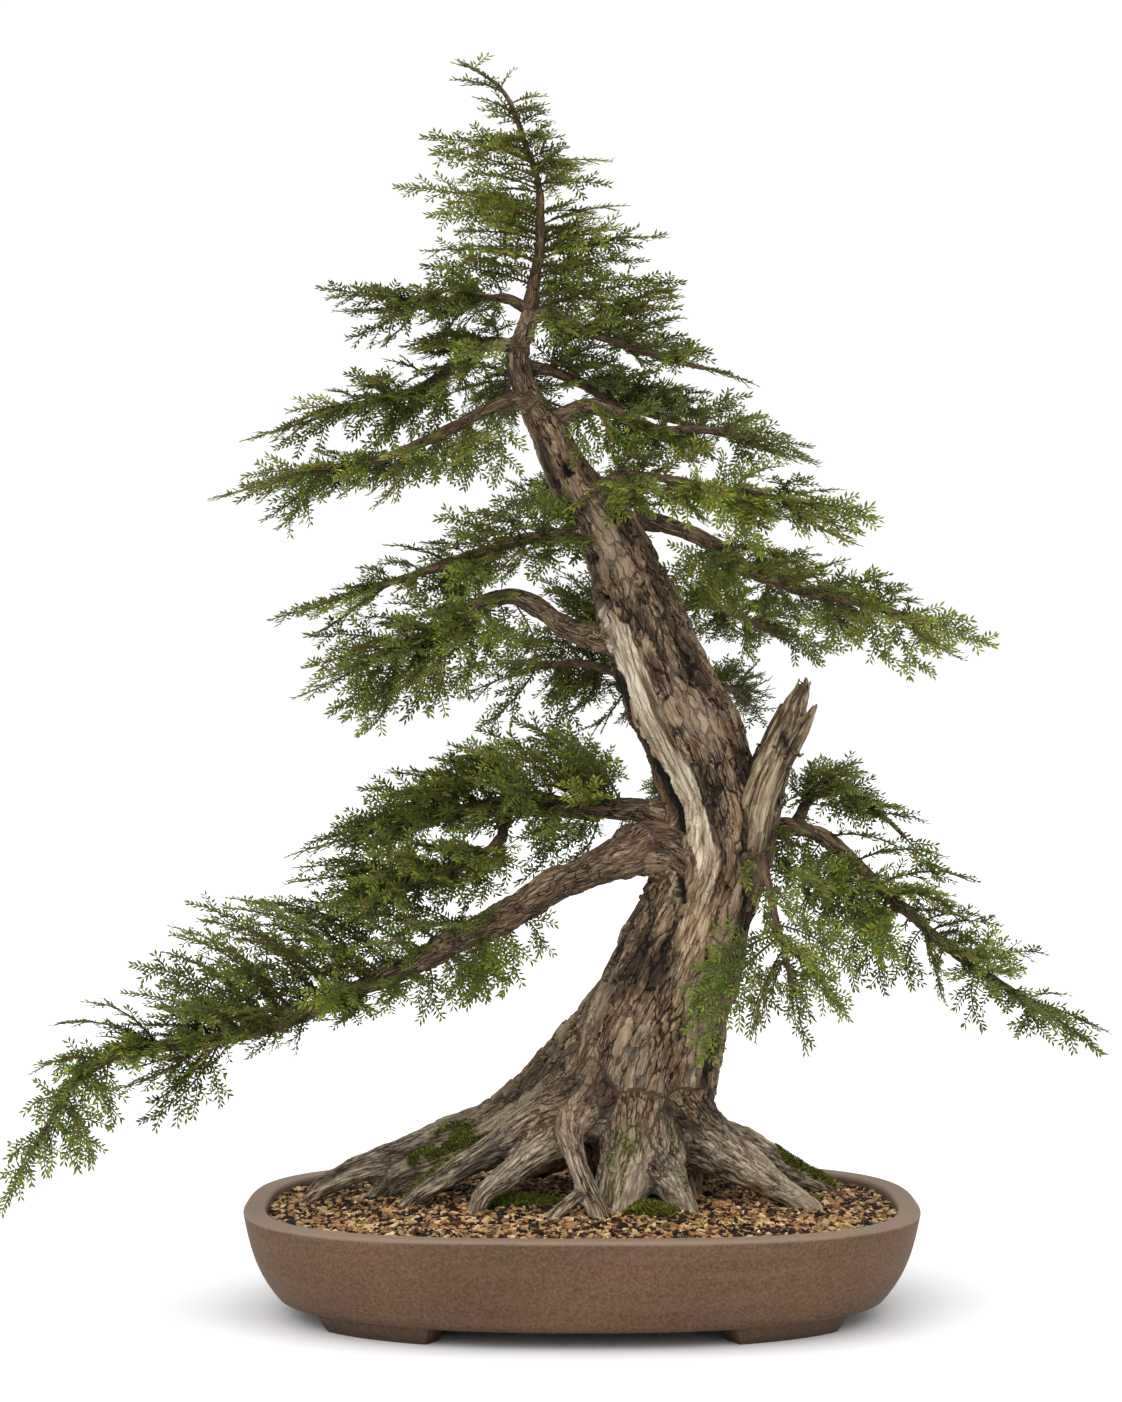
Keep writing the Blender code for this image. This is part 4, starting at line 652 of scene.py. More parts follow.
class Limbs:
    """Limbs sampled along their lines, so that any point can be read in its limb's own coordinates."""

    def __init__(self, lines, spacing=0.004):
        rows, run, frames, which = [], [], [], []
        for number, line in enumerate(lines):
            path = smooth_path(line, spacing)
            rows.append(path)
            run.append(run_of(path))
            frames.append(np.stack(carried_frames(path[:, :3]), axis=1))
            which.append(np.full(len(path), number))
        self.rows, self.run = np.concatenate(rows), np.concatenate(run)
        self.frames, self.which = np.concatenate(frames), np.concatenate(which)

    def read(self, places):
        """The nearest limb's radius at each point, how much nearer that limb is than the next, and the
        point's place across and along it."""
        chosen, margins = [], []
        waves = [rough(places / 0.013, salt, 2) for salt in (201, 202, 203)]
        ragged = places + 0.0055 * np.stack(waves, axis=1)
        for start in range(0, len(places), READ_AT_ONCE):
            some = ragged[start:start + READ_AT_ONCE]
            gap = np.linalg.norm(some[:, None] - self.rows[None, :, :3], axis=2) - self.rows[None, :, 3]
            nearest = np.argmin(gap, axis=1)
            others = np.where(self.which[nearest][:, None] == self.which[None], FAR_OFF, gap)
            margins.append(others.min(axis=1) - gap.min(axis=1))
            chosen.append(nearest)
        pick = np.concatenate(chosen)
        row = self.rows[pick]
        away = places - row[:, :3]
        local = np.einsum("nij,nj->ni", self.frames[pick], away)
        flow = np.stack([local[:, 1], local[:, 2], self.run[pick] + local[:, 0]], axis=1)
        flow += self.which[pick][:, None] * LIMB_STEP
        return row[:, 3], np.concatenate(margins), flow


def bark_cells(maker, flow, thin):
    """Long overlapping plates of bark. How far inside its plate a point lies, the plate's tone, and how far
    along the plate the point is. The same cells serve for the relief and for the colour."""
    wave = maker.add("ShaderNodeTexNoise", {"Vector": flow, "Scale": 42.0, "Detail": 2.0}).outputs["Color"]
    push = maker.vectors("SCALE", maker.vectors("SUBTRACT", wave, (0.5, 0.5, 0.5)), scale=0.013)
    bent = maker.vectors("ADD", flow, push)
    wave = maker.add("ShaderNodeTexNoise", {"Vector": flow, "Scale": 230.0, "Detail": 2.0}).outputs["Color"]
    bent = maker.vectors("ADD", bent, maker.vectors("MULTIPLY", wave, (0.0034, 0.0034, 0.0090)))
    sizes = []
    for width in PLATE_WIDTHS:
        cell = maker.vectors("MULTIPLY", bent, (1 / width, 1 / width, 1 / (PLATE_LENGTH * width)))
        rim = maker.add("ShaderNodeTexVoronoi", {"Vector": cell, "Scale": 1.0}, feature="DISTANCE_TO_EDGE")
        core = maker.add("ShaderNodeTexVoronoi", {"Vector": cell, "Scale": 1.0}, feature="F1")
        off = maker.vectors("SUBTRACT", cell, core.outputs["Position"])
        along = maker.add("ShaderNodeSeparateXYZ", {0: off}).outputs[2]
        sizes.append((rim.outputs["Distance"], core.outputs["Color"], along))
    return [maker.add("ShaderNodeMix", {0: thin, 2: broad, 3: narrow}).outputs[0]
            for broad, narrow in zip(*sizes)]


def relief_pattern():
    """Lifts the plates of bark off the wood, as far as the wood's own depth number says."""
    pattern = Pattern("bark relief", Material="Material")
    flow, thin, depth = pattern.named("flow", "FLOAT_VECTOR"), pattern.named("thin"), pattern.named("depth")
    inside, tone, along = bark_cells(pattern, flow, thin)
    lifted = pattern.add("ShaderNodeMapRange", {"Value": inside, "From Max": 0.13},
                         interpolation_type="SMOOTHSTEP").outputs[0]
    slope = pattern.plus(pattern.times(tone, 0.5), pattern.times(along, -0.5))
    height = pattern.minus(pattern.times(lifted, pattern.plus(slope, 0.6)), 0.6)
    normal = pattern.add("GeometryNodeInputNormal").outputs[0]
    offset = pattern.vectors("SCALE", normal, scale=pattern.times(height, depth))
    moved = pattern.add("GeometryNodeSetPosition", {"Geometry": pattern.given["Geometry"], "Offset": offset})
    pattern.finish((moved.outputs[0], pattern.given["Material"]))
    return pattern


def along_line(places, line):
    """How far each point is, seen from the front, from a line of x, z and half width, in half widths; and
    -1 or 1 for the side of the line that it lies on."""
    marks = np.array(line)
    steps = np.concatenate([[0.0], np.cumsum(np.linalg.norm(np.diff(marks[:, :2], axis=0), axis=1))])
    at = np.linspace(0, steps[-1], 120)
    x, z, half = (np.interp(at, steps, column) for column in marks.T)
    gap = np.hypot(places[:, 0, None] - x[None], places[:, 2, None] - z[None])
    near = np.argmin(gap, axis=1)
    side = np.sign(places[:, 0] - x[near])
    return gap[np.arange(len(places)), near] / half[near], side


def stored(items, key, width=1, kind=np.float32):
    """A number, or a row of width numbers, for each item of a mesh."""
    flat = np.empty(len(items) * width, kind)
    items.foreach_get(key, flat)
    return flat.reshape(-1, width) if width > 1 else flat


def mesh_places(mesh):
    return stored(mesh.vertices, "co", 3).astype(np.float64)


def mesh_normals(mesh):
    return stored(mesh.vertices, "normal", 3).astype(np.float64)


def set_places(mesh, places):
    mesh.vertices.foreach_set("co", places.astype(np.float32).ravel())
    mesh.update()


def write_attribute(mesh, name, values):
    """Stores one number or one vector for each vertex."""
    vector = values.ndim == 2
    made = mesh.attributes.new(name, "FLOAT_VECTOR" if vector else "FLOAT", "POINT")
    made.data.foreach_set("vector" if vector else "value", values.astype(np.float32).ravel())


def read_attribute(mesh, name):
    return stored(mesh.attributes[name].data, "value")


def remeshed(name, parts, voxel, smoothing):
    """One closed skin round all the parts."""
    places, faces = joined(parts)
    obj = helper_object(name, plain_mesh(name, places, faces))
    skin = obj.modifiers.new("Skin", "REMESH")
    skin.mode = "VOXEL"
    skin.voxel_size = voxel
    soften = obj.modifiers.new("Soften", "SMOOTH")
    soften.factor = 0.5
    soften.iterations = smoothing
    mesh = evaluated_copy(obj)
    mesh.shade_smooth()
    return mesh


# Geometry Nodes.

class Pattern(NodeMaker):
    """A Geometry Nodes tree being built, with its named inputs."""

    def __init__(self, name, **inputs):
        self.tree = bpy.data.node_groups.new(name, "GeometryNodeTree")
        faces = self.tree.interface
        faces.new_socket("Geometry", in_out="INPUT", socket_type="NodeSocketGeometry")
        for label, kind in inputs.items():
            faces.new_socket(label.replace("_", " "), in_out="INPUT", socket_type="NodeSocket" + kind)
        faces.new_socket("Geometry", in_out="OUTPUT", socket_type="NodeSocketGeometry")
        self.given = self.tree.nodes.new("NodeGroupInput").outputs
        self.result = self.tree.nodes.new("NodeGroupOutput").inputs[0]

    def named(self, name, kind="FLOAT"):
        return self.add("GeometryNodeInputNamedAttribute", {"Name": name}, data_type=kind).outputs[0]

    def number(self, low, high, salt):
        seed = self.plus(self.given["Seed"], float(salt))
        return self.add("FunctionNodeRandomValue", {2: low, 3: high, 8: seed}, data_type="FLOAT").outputs[1]

    def vector(self, x, y, z):
        return self.add("ShaderNodeCombineXYZ", {0: x, 1: y, 2: z}).outputs[0]

    def object_shape(self, socket):
        return self.add("GeometryNodeObjectInfo", {"Object": socket}).outputs["Geometry"]

    def store(self, geometry, name, value, domain):
        made = self.add("GeometryNodeStoreNamedAttribute",
                        {"Geometry": geometry, "Name": name, "Value": value},
                        data_type="FLOAT", domain=domain)
        return made.outputs[0]

    def together(self, geometries):
        join = self.add("GeometryNodeJoinGeometry")
        for geometry in geometries:
            self.tree.links.new(geometry, join.inputs[0])
        return join.outputs[0]

    def finish(self, *geometries):
        """Realizes the instances, gives each geometry its material, and joins them."""
        ends = []
        for geometry, material in geometries:
            real = self.add("GeometryNodeRealizeInstances", {"Geometry": geometry}).outputs[0]
            made = self.add("GeometryNodeSetMaterial", {"Geometry": real, "Material": material})
            ends.append(made.outputs[0])
        self.tree.links.new(ends[0] if len(ends) == 1 else self.together(ends), self.result)

    def grow(self, name, mesh, **values):
        """The tree's result on this mesh, as a plain mesh."""
        obj = helper_object(name, mesh)
        modifier = obj.modifiers.new("Grow", "NODES")
        modifier.node_group = self.tree
        for item in self.tree.interface.items_tree:
            key = item.name.replace(" ", "_")
            if item.in_out == "INPUT" and key in values:
                modifier[item.identifier] = values[key]
        grown = evaluated_copy(obj)
        drop_empty_slots(grown)
        return grown


def drop_empty_slots(mesh):
    """Takes out material slots that hold nothing, and keeps every face on its own material."""
    kept = [i for i, material in enumerate(mesh.materials) if material]
    kind = stored(mesh.polygons, "material_index", kind=np.int32)
    materials = [mesh.materials[i] for i in kept]
    mesh.materials.clear()
    for material in materials:
        mesh.materials.append(material)
    mesh.polygons.foreach_set("material_index", np.searchsorted(kept, kind).astype(np.int32))
    mesh.update()


def bake_map(mesh, across, down):
    """Writes the piece's own map, one across and one down value for each face corner."""
    layer = mesh.uv_layers.new(name=OWN_MAP)
    pairs = np.stack([across, down], axis=1).astype(np.float32)
    layer.data.foreach_set("uv", pairs.ravel())


def corner_data(mesh):
    """For each face corner: its vertex, its face and its number within the face."""
    vertex = stored(mesh.loops, "vertex_index", kind=np.int32)
    start = stored(mesh.polygons, "loop_start", kind=np.int32)
    total = stored(mesh.polygons, "loop_total", kind=np.int32)
    face = np.repeat(np.arange(len(start)), total)
    return vertex, face, np.arange(len(vertex)) - start[face]


# The studio.

def make_studio():
    floor = Finish("studio floor", 0.9, 0.1)
    tone = floor.noise(floor.object_place(), 0.6)
    paint = floor.ramp(tone, (0.0, (0.92, 0.925, 0.935, 1.0)), (1.0, (0.95, 0.95, 0.955, 1.0)))
    half = FLOOR_HALF
    mesh = plain_mesh("floor", ((-half, -half, 0), (half, -half, 0), (half, half, 0), (-half, half, 0)),
                      [(0, 1, 2, 3)], smooth=False)
    mesh.materials.append(floor.done(paint))
    ground = helper_object("floor", mesh)

    world = bpy.data.worlds.new("studio air")
    world.use_nodes = True
    world.node_tree.nodes["Background"].inputs["Color"].default_value = (1.0, 1.0, 1.0, 1.0)
    world.node_tree.nodes["Background"].inputs["Strength"].default_value = AIR_STRENGTH
    bpy.context.scene.world = world

    light = bpy.data.lights.new("soft key", "SUN")
    light.energy = SUN_STRENGTH
    light.angle = math.radians(SUN_SPREAD)
    lamp = bpy.data.objects.new("soft key", light)
    bpy.context.scene.collection.objects.link(lamp)
    lamp.rotation_euler = Vector(SUN_AIM).to_track_quat("-Z", "Y").to_euler()

    eye = bpy.data.cameras.new("camera")
    eye.lens = CAMERA_LENS
    eye.sensor_width = 36.0
    eye.clip_end = 60.0
    camera = bpy.data.objects.new("camera", eye)
    bpy.context.scene.collection.objects.link(camera)
    camera.location = CAMERA_PLACE
    camera.rotation_euler = (math.radians(90.0), 0.0, 0.0)
    bpy.context.scene.camera = camera
    bpy.context.scene.view_settings.view_transform = "Standard"


# The pot.

def oval_point(half_x, half_y, z, turn):
    c, s = math.cos(turn), math.sin(turn)
    power = 2.0 / (BASE_SQUARENESS + (RIM_SQUARENESS - BASE_SQUARENESS) * z / POT_HEIGHT)
    return Vector((POT_CENTRE_X + half_x * math.copysign(abs(c) ** power, c),
                   half_y * math.copysign(abs(s) ** power, s), z))


def pot_side(height_share):
    """How far the outer wall stands in from the rim's line at this share of its height."""
    down = 1.0 - height_share
    return WALL_LEAN * down + WALL_ROUND * down**WALL_POWER


def inset_ring(inset, z):
    """An oval this far inside the rim's outer line."""
    return POT_HALF_X - inset, POT_HALF_Y - inset, z


def pot_rings():
    """The pot's section from the recess under it, up the outer wall, over the rim and down inside."""
    base_x, base_y = POT_HALF_X - pot_side(0.0), POT_HALF_Y - pot_side(0.0)
    rings = []
    for inset, z in ((0.130, 0.0), (0.090, 0.0), (0.060, 0.0), (BASE_MARGIN + 0.004, 0.0),
                     (BASE_MARGIN + 0.001, -0.0012), (BASE_MARGIN, -BASE_RECESS + 0.0006),
                     (BASE_MARGIN - 0.001, -BASE_RECESS), (0.014, -BASE_RECESS), (0.006, -BASE_RECESS)):
        rings.append((base_x - inset, base_y - inset, FOOT_HEIGHT + BASE_RECESS + z))
    wall_top = POT_HEIGHT - RIM_ROUND
    for share in np.linspace(0.03, 1.0, 30):
        inset = pot_side(share)
        rings.append(inset_ring(inset, FOOT_HEIGHT + (wall_top - FOOT_HEIGHT) * share))
    for turn in np.linspace(0.2, math.pi / 2, 6):
        inset = RIM_ROUND * (1 - math.cos(turn))
        rings.append(inset_ring(inset, wall_top + RIM_ROUND * math.sin(turn)))
    flat = RIM_WIDTH - 0.003
    for share in (0.5, 0.85):
        inset = RIM_ROUND + (flat - RIM_ROUND) * share
        rings.append(inset_ring(inset, POT_HEIGHT - RIM_DIP * share))
    for turn in np.linspace(0.2, math.pi / 2, 5):
        inset = flat + INNER_ROUND * math.sin(turn)
        rings.append(inset_ring(inset, POT_HEIGHT - RIM_DIP - INNER_ROUND * (1 - math.cos(turn))))
    for share in (0.90, 0.80, 0.60, 0.45, 0.34, 0.22):
        inset = WALL_THICKNESS + 0.002 + pot_side(share)
        rings.append(inset_ring(inset, FOOT_HEIGHT + (POT_HEIGHT - FOOT_HEIGHT) * share))
    last_x, last_y, _ = rings[-1]
    for inset, z in ((0.004, 0.001), (0.012, 0.0), (0.060, 0.0), (0.110, 0.0)):
        rings.append((last_x - inset, last_y - inset, FLOOR_TOP + z))
    return rings


def oval_loft(name, rings, sides):
    """A closed mesh through oval rings, each given as half x, half y and z."""
    places = [oval_point(*ring, math.tau * k / sides) for ring in rings for k in range(sides)]
    ends = [tuple(reversed(range(sides))), tuple(range((len(rings) - 1) * sides, len(rings) * sides))]
    mesh = plain_mesh(name, places, ring_faces(len(rings), sides) + ends)
    face_outwards(mesh)
    return mesh


def foot_shape(turn_low, turn_high):
    """One bracket foot: a stretch of the base's outline with rounded edges and ends that slope in."""
    out_x, out_y = POT_HALF_X - pot_side(0.0), POT_HALF_Y - pot_side(0.0)
    section = ((0.002, FOOT_HEIGHT + 0.003, 0.0), (0.0035, 0.0060, 0.55), (0.0052, 0.0012, 0.95),
               (0.0064, 0.0, 1.0), (0.0236, 0.0, 1.0), (0.0250, 0.0012, 0.95), (0.0256, 0.0060, 0.55),
               (0.0262, FOOT_HEIGHT + 0.003, 0.0))
    steps, count = 22, len(section)
    places = []
    for i in range(steps + 1):
        share = i / steps
        for inset, z, down in section:
            slope = FOOT_SLOPE * down
            turn = turn_low + slope + (turn_high - turn_low - 2 * slope) * share
            places.append(oval_point(out_x - inset, out_y - inset, z, turn))
    ends = [tuple(range(count)), tuple(reversed(range(steps * count, (steps + 1) * count)))]
    mesh = plain_mesh("foot", places, ring_faces(steps + 1, count) + ends)
    face_outwards(mesh)
    return mesh


def round_bar(x, y, radius, sides=28):
    """A short upright cutter for a hole through the floor."""
    path = np.array([(x, y, 0.0, radius), (x, y, 0.02, radius), (x, y, 0.04, radius)])
    return plain_mesh("bar", *tube(path, sides))


def make_pot(clay):
    pot = helper_object("pot_body", oval_loft("pot_body", pot_rings(), POT_SIDES))
    start, end = FOOT_SPAN
    feet = [foot_shape(low, high) for low, high in (
        (start, end), (math.pi - end, math.pi - start), (math.pi + start, math.pi + end),
        (math.tau - end, math.tau - start))]
    wire_x, wire_y, wire_radius = WIRE_HOLE
    holes = [round_bar(POT_CENTRE_X + x, y, radius) for x, y, radius in (
        (-DRAIN_X, 0.0, DRAIN_RADIUS), (DRAIN_X, 0.0, DRAIN_RADIUS),
        (-wire_x, wire_y, wire_radius), (wire_x, wire_y, wire_radius))]
    for operation, meshes in (("UNION", feet), ("DIFFERENCE", holes)):
        for mesh in meshes:
            step = pot.modifiers.new(operation, "BOOLEAN")
            step.operation = operation
            step.object = helper_object(operation, mesh)
            step.solver = "EXACT"
    helpers = [step.object for step in pot.modifiers]
    mesh = evaluated_copy(pot)
    for helper in helpers:
        bpy.data.objects.remove(helper)
    mesh.shade_smooth()
    mesh.set_sharp_from_angle(angle=math.radians(38))
    finish_piece("pot_clay_body", mesh, "pot_clay", ["pot"], clay)


def clay_finish():
    clay = Finish("unglazed fired clay", 0.72, 0.35)
    place = clay.object_place()
    cloud = clay.noise(place, 9.0, 4.0, 0.6)
    streak = clay.streaks(place, (7.0, 7.0, 95.0), 4.0, 0.6)
    fine = clay.noise(place, 260.0, 3.0, 0.7)
    speck = clay.cells(place, 520.0)
    grit = clay.noise(place, 360.0, 4.0, 0.75)
    body = clay.ramp(clay.plus(clay.times(cloud, 0.22), clay.times(grit, 0.78)),
                     (0.38, shade(72, 50, 35)), (0.50, shade(91, 66, 45)), (0.62, shade(110, 83, 58)))
    body = clay.mix(clay.times(clay.between(streak, 0.48, 0.74), 0.35), body, shade(110, 88, 70))
    grains = clay.between(clay.minus(clay.noise(place, 620.0, 1.0), clay.times(speck, 0.2)),
                          0.54, 0.62)
    body = clay.mix(clay.times(grains, 0.30), body, shade(128, 104, 82))
    pits = clay.between(clay.noise(place, 480.0, 1.0), 0.40, 0.30)
    body = clay.mix(clay.times(pits, 0.5), body, shade(50, 37, 28))
    height = clay.add("ShaderNodeSeparateXYZ", {0: place}).outputs[2]
    # Painted highlight: the top of the rim is painted lighter, as if lit from above.
    rim = clay.between(clay.plus(height, clay.times(cloud, 0.003)), 0.0818, 0.0836)
    body = clay.mix(clay.times(rim, 0.68), body, shade(140, 120, 100))
    # Painted shade: the clay is darkened towards the foot of the pot, where the shade under it falls.
    low = clay.between(clay.plus(height, clay.times(cloud, 0.010)), 0.024, 0.010)
    body = clay.mix(clay.times(low, 0.55), body, shade(48, 36, 27))
    bumps = clay.plus(clay.times(fine, 0.6), clay.times(streak, 0.8))
    return clay.done(body, bumps, 0.0005, 0.8)


# The soil.

def soil_height(x, y):
    """The height of the soil's surface."""
    half_x, half_y = POT_HALF_X - RIM_WIDTH, POT_HALF_Y - RIM_WIDTH
    across = np.abs((x - POT_CENTRE_X) / half_x) ** RIM_SQUARENESS + np.abs(y / half_y) ** RIM_SQUARENESS
    share = np.minimum(across ** (1 / RIM_SQUARENESS), 1.0)
    places = np.stack([x, y, 0 * x], axis=-1).reshape(-1, 3)
    waves = 0.0016 * rough(places / 0.035, 5, 2).reshape(np.shape(x)) * (1 - share**4)
    return SOIL_EDGE_Z + SOIL_MOUND * (1 - share**2) ** 1.3 + waves


def make_soil(earth):
    sides = 160
    rings = [(0.150, 0.090, FLOOR_TOP + 0.001), (0.190, 0.135, FLOOR_TOP + 0.001)]
    for share in (0.30, 0.45, 0.60, 0.80):
        inset = WALL_THICKNESS + 0.0030 + pot_side(share)
        rings.append(inset_ring(inset, FOOT_HEIGHT + (POT_HEIGHT - FOOT_HEIGHT) * share))
    edge = WALL_THICKNESS + 0.0026 + pot_side(0.88)
    rim_x, rim_y = POT_HALF_X - edge, POT_HALF_Y - edge
    for share in np.linspace(1.0, 0.05, 48):
        rings.append((rim_x * share, rim_y * share, SOIL_EDGE_Z))
    mesh = oval_loft("soil_body", rings, sides)
    places = mesh_places(mesh)
    top = np.arange(len(places)) >= 6 * sides
    places[top, 2] = soil_height(places[top, 0], places[top, 1])
    set_places(mesh, places)
    finish_piece("soil_surface", mesh, "soil_mix", ["soil"], earth)


def earth_finish():
    earth = Finish("damp soil", 0.9, 0.2)
    place = earth.object_place()
    tone = earth.cells(place, 260.0, output="Color")
    grey = earth.add("ShaderNodeRGBToBW", {0: tone}).outputs[0]
    body = earth.ramp(grey, (0.2, shade(28, 19, 13)), (0.6, shade(70, 46, 28)), (0.9, shade(125, 88, 52)))
    return earth.done(body, earth.cells(place, 260.0), 0.002)


def scatter_pattern():
    """Small shapes laid over a surface at random, as thick as the surface's own cover number says."""
    pattern = Pattern("loose cover", Shape="Object", Material="Material", Density="Float", Size="Float",
                      Unevenness="Float", Lean="Float", Lift="Float", Seed="Int")
    given = pattern.given
    spots = pattern.add("GeometryNodeDistributePointsOnFaces",
                        {"Mesh": given["Geometry"], "Seed": given["Seed"],
                         "Density": pattern.times(pattern.named("cover"), given["Density"])})
    lean, back = given["Lean"], pattern.times(given["Lean"], -1.0)
    tip = pattern.vector(pattern.number(back, lean, 1), pattern.number(back, lean, 2),
                         pattern.number(0.0, math.tau, 3))
    by = pattern.add("FunctionNodeEulerToRotation", {0: tip}).outputs[0]
    turned = pattern.add("FunctionNodeRotateRotation",
                         {"Rotation": spots.outputs["Rotation"], "Rotate By": by},
                         rotation_space="LOCAL")
    smallest = pattern.minus(1.0, given["Unevenness"])
    largest = pattern.plus(1.0, given["Unevenness"])
    sizes = [pattern.times(given["Size"], pattern.number(smallest, largest, 4 + k)) for k in range(3)]
    high = pattern.vector(0.0, 0.0, pattern.times(given["Lift"], pattern.number(-0.4, 1.0, 9)))
    raised = pattern.add("GeometryNodeSetPosition", {"Geometry": spots.outputs["Points"], "Offset": high})
    placed = pattern.add("GeometryNodeInstanceOnPoints",
                         {"Points": raised.outputs[0], "Instance": pattern.object_shape(given["Shape"]),
                          "Rotation": turned.outputs[0], "Scale": pattern.vector(*sizes)})
    toned = pattern.store(placed.outputs[0], "tone", pattern.number(0.0, 1.0, 12), "INSTANCE")
    pattern.finish((toned, given["Material"]))
    return pattern


def chip_shape(seed, length, width, height):
    """A rough bark chip or grain of 12 to 20 faces, about one unit long."""
    rng = random.Random(seed)
    work = bmesh.new()
    bmesh.ops.create_icosphere(work, subdivisions=1, radius=0.5)
    for vert in work.verts:
        push = 0.78 + 0.44 * rng.random()
        vert.co = Vector((vert.co.x * length * push, vert.co.y * width * push, vert.co.z * height * push))
    mesh = bpy.data.meshes.new("chip")
    work.to_mesh(mesh)
    work.free()
    return helper_object("chip", mesh)


def shard_shape(seed):
    """A flat splinter of bark: a skewed slab with a ridge, 12 faces."""
    rng = random.Random(seed)
    places = []
    for z in (-0.14, 0.14):
        for x, y in ((-0.5, -0.18), (0.42, -0.24), (0.5, 0.2), (-0.38, 0.26)):
            places.append((x + rng.uniform(-0.1, 0.1), y + rng.uniform(-0.07, 0.07),
                           z + rng.uniform(-0.05, 0.05)))
    faces = [(0, 3, 2, 1), (4, 5, 6, 7), (0, 1, 5, 4), (1, 2, 6, 5), (2, 3, 7, 6), (3, 0, 4, 7)]
    work = bmesh.new()
    verts = [work.verts.new(place) for place in places]
    for face in faces:
        work.faces.new([verts[i] for i in face])
    bmesh.ops.triangulate(work, faces=work.faces)
    mesh = bpy.data.meshes.new("shard")
    work.to_mesh(mesh)
    work.free()
    return helper_object("shard", mesh)


def soil_cover(name):
    """The soil's top surface as an open sheet for the grains to lie on, thinned out under the trunk."""
    sides, share = 140, np.linspace(0.015, 0.995, 60)
    half_x, half_y = POT_HALF_X - RIM_WIDTH - 0.001, POT_HALF_Y - RIM_WIDTH - 0.001
    flat = np.array([oval_point(half_x * s, half_y * s, SOIL_EDGE_Z, math.tau * k / sides)
                     for s in share for k in range(sides)])
    flat[:, 2] = soil_height(flat[:, 0], flat[:, 1])
    mesh = plain_mesh(name, flat, [(a, d, c, b) for a, b, c, d in ring_faces(len(share), sides)])
    under = np.hypot((flat[:, 0] - 0.062) / 0.062, (flat[:, 1] + 0.004) / 0.058)
    write_attribute(mesh, "cover", ease(under, 0.80, 1.0))
    return mesh


def grain_finish():
    grain = Finish("bark chips and fired grains", 0.82, 0.25)
    tone, lift, _ = grain.own_map()
    body = grain.ramp(tone, (0.00, shade(16, 11, 8)), (0.33, shade(40, 27, 18)),
                      (0.40, shade(92, 64, 40)), (0.54, shade(166, 124, 78)), (0.68, shade(206, 166, 112)),
                      (0.78, shade(128, 84, 44)), (0.88, shade(222, 186, 132)), (1.00, shade(242, 218, 172)))
    light = grain.ramp(lift, (0.0, (0.62, 0.60, 0.58, 1.0)), (1.0, (1.0, 1.0, 1.0, 1.0)))
    return grain.done(grain.mix(1.0, body, light, "MULTIPLY"))


def map_by_tone(mesh, seed):
    """Maps every face to a small patch at its own tone, so that each grain has its own colour."""
    vertex, face, corner = corner_data(mesh)
    tone = read_attribute(mesh, "tone")[vertex]
    lift = np.random.default_rng(seed).random(len(mesh.polygons))[face]
    bake_map(mesh, 0.01 + 0.95 * tone + 0.015 * (corner == 1), 0.05 + 0.85 * lift + 0.05 * (corner == 2))


def make_grains(pattern, grain):
    for name, shape, density, size, uneven, lean, lift, seed in (
            ("soil_bark_chips", shard_shape(3), 60000.0, 0.0062, 0.40, 0.45, 0.0016, 5),
            ("soil_dark_chips", shard_shape(8), 26000.0, 0.0078, 0.40, 0.50, 0.0012, 17),
            ("soil_grains", chip_shape(4, 1.0, 0.75, 0.6), 26000.0, 0.0040, 0.35, 0.9, 0.0018, 29)):
        mesh = pattern.grow(name, soil_cover(name), Shape=shape, Material=grain, Density=density, Size=size,
                            Unevenness=uneven, Lean=lean, Lift=lift, Seed=seed)
        bpy.data.objects.remove(shape)
        map_by_tone(mesh, seed)
        finish_piece(name, mesh, "soil_mix", [])


# The wood.

def collar_lines():
    """The first stretch of each thick branch, which the trunk's skin takes in as its collar."""
    lines = []
    for spec in BRANCHES.values():
        if spec["base"] < 0.0055:
            continue
        path = smooth_path([(*place, 0.0) for place in spec["line"]], 0.004)
        run = run_of(path)
        length = 0.022 + 1.4 * spec["base"]
        kept = path[run <= length]
        share = run[run <= length] / length
        kept[:, 3] = spec["base"] * (1.42 - 0.50 * share**0.7)
        lines.append(kept[::2] if len(kept) > 8 else kept)
    return lines


def root_heads():
    """The roots, each carried on up inside the trunk so that it swells out of it without a step."""
    lines = []
    for line in ROOT_LINES:
        x, y, z, radius = line[0]
        if z > 0.12:
            inside = (0.066 + 0.45 * (x - 0.066), 0.55 * y, z + 0.050, 0.66 * radius)
            deeper = (0.076, 0.2 * y, z + 0.100, 0.35 * radius)
            line = (deeper, inside, *line)
        lines.append(line)
    return lines


def trunk_skin(limbs):
    """One skin round the trunk, its roots, the branches' collars and the swelling under the dead stub."""
    parts = []
    for number in range(limbs.which[-1] + 1):
        path = limbs.rows[limbs.which == number]
        parts.append(tube(path, 28 if path[:, 3].max() > 0.02 else 18))
    parts.append(tube(smooth_path(STUB_SWELLING, 0.004), 20))
    return remeshed("trunk_skin", parts, TRUNK_VOXEL, 4)


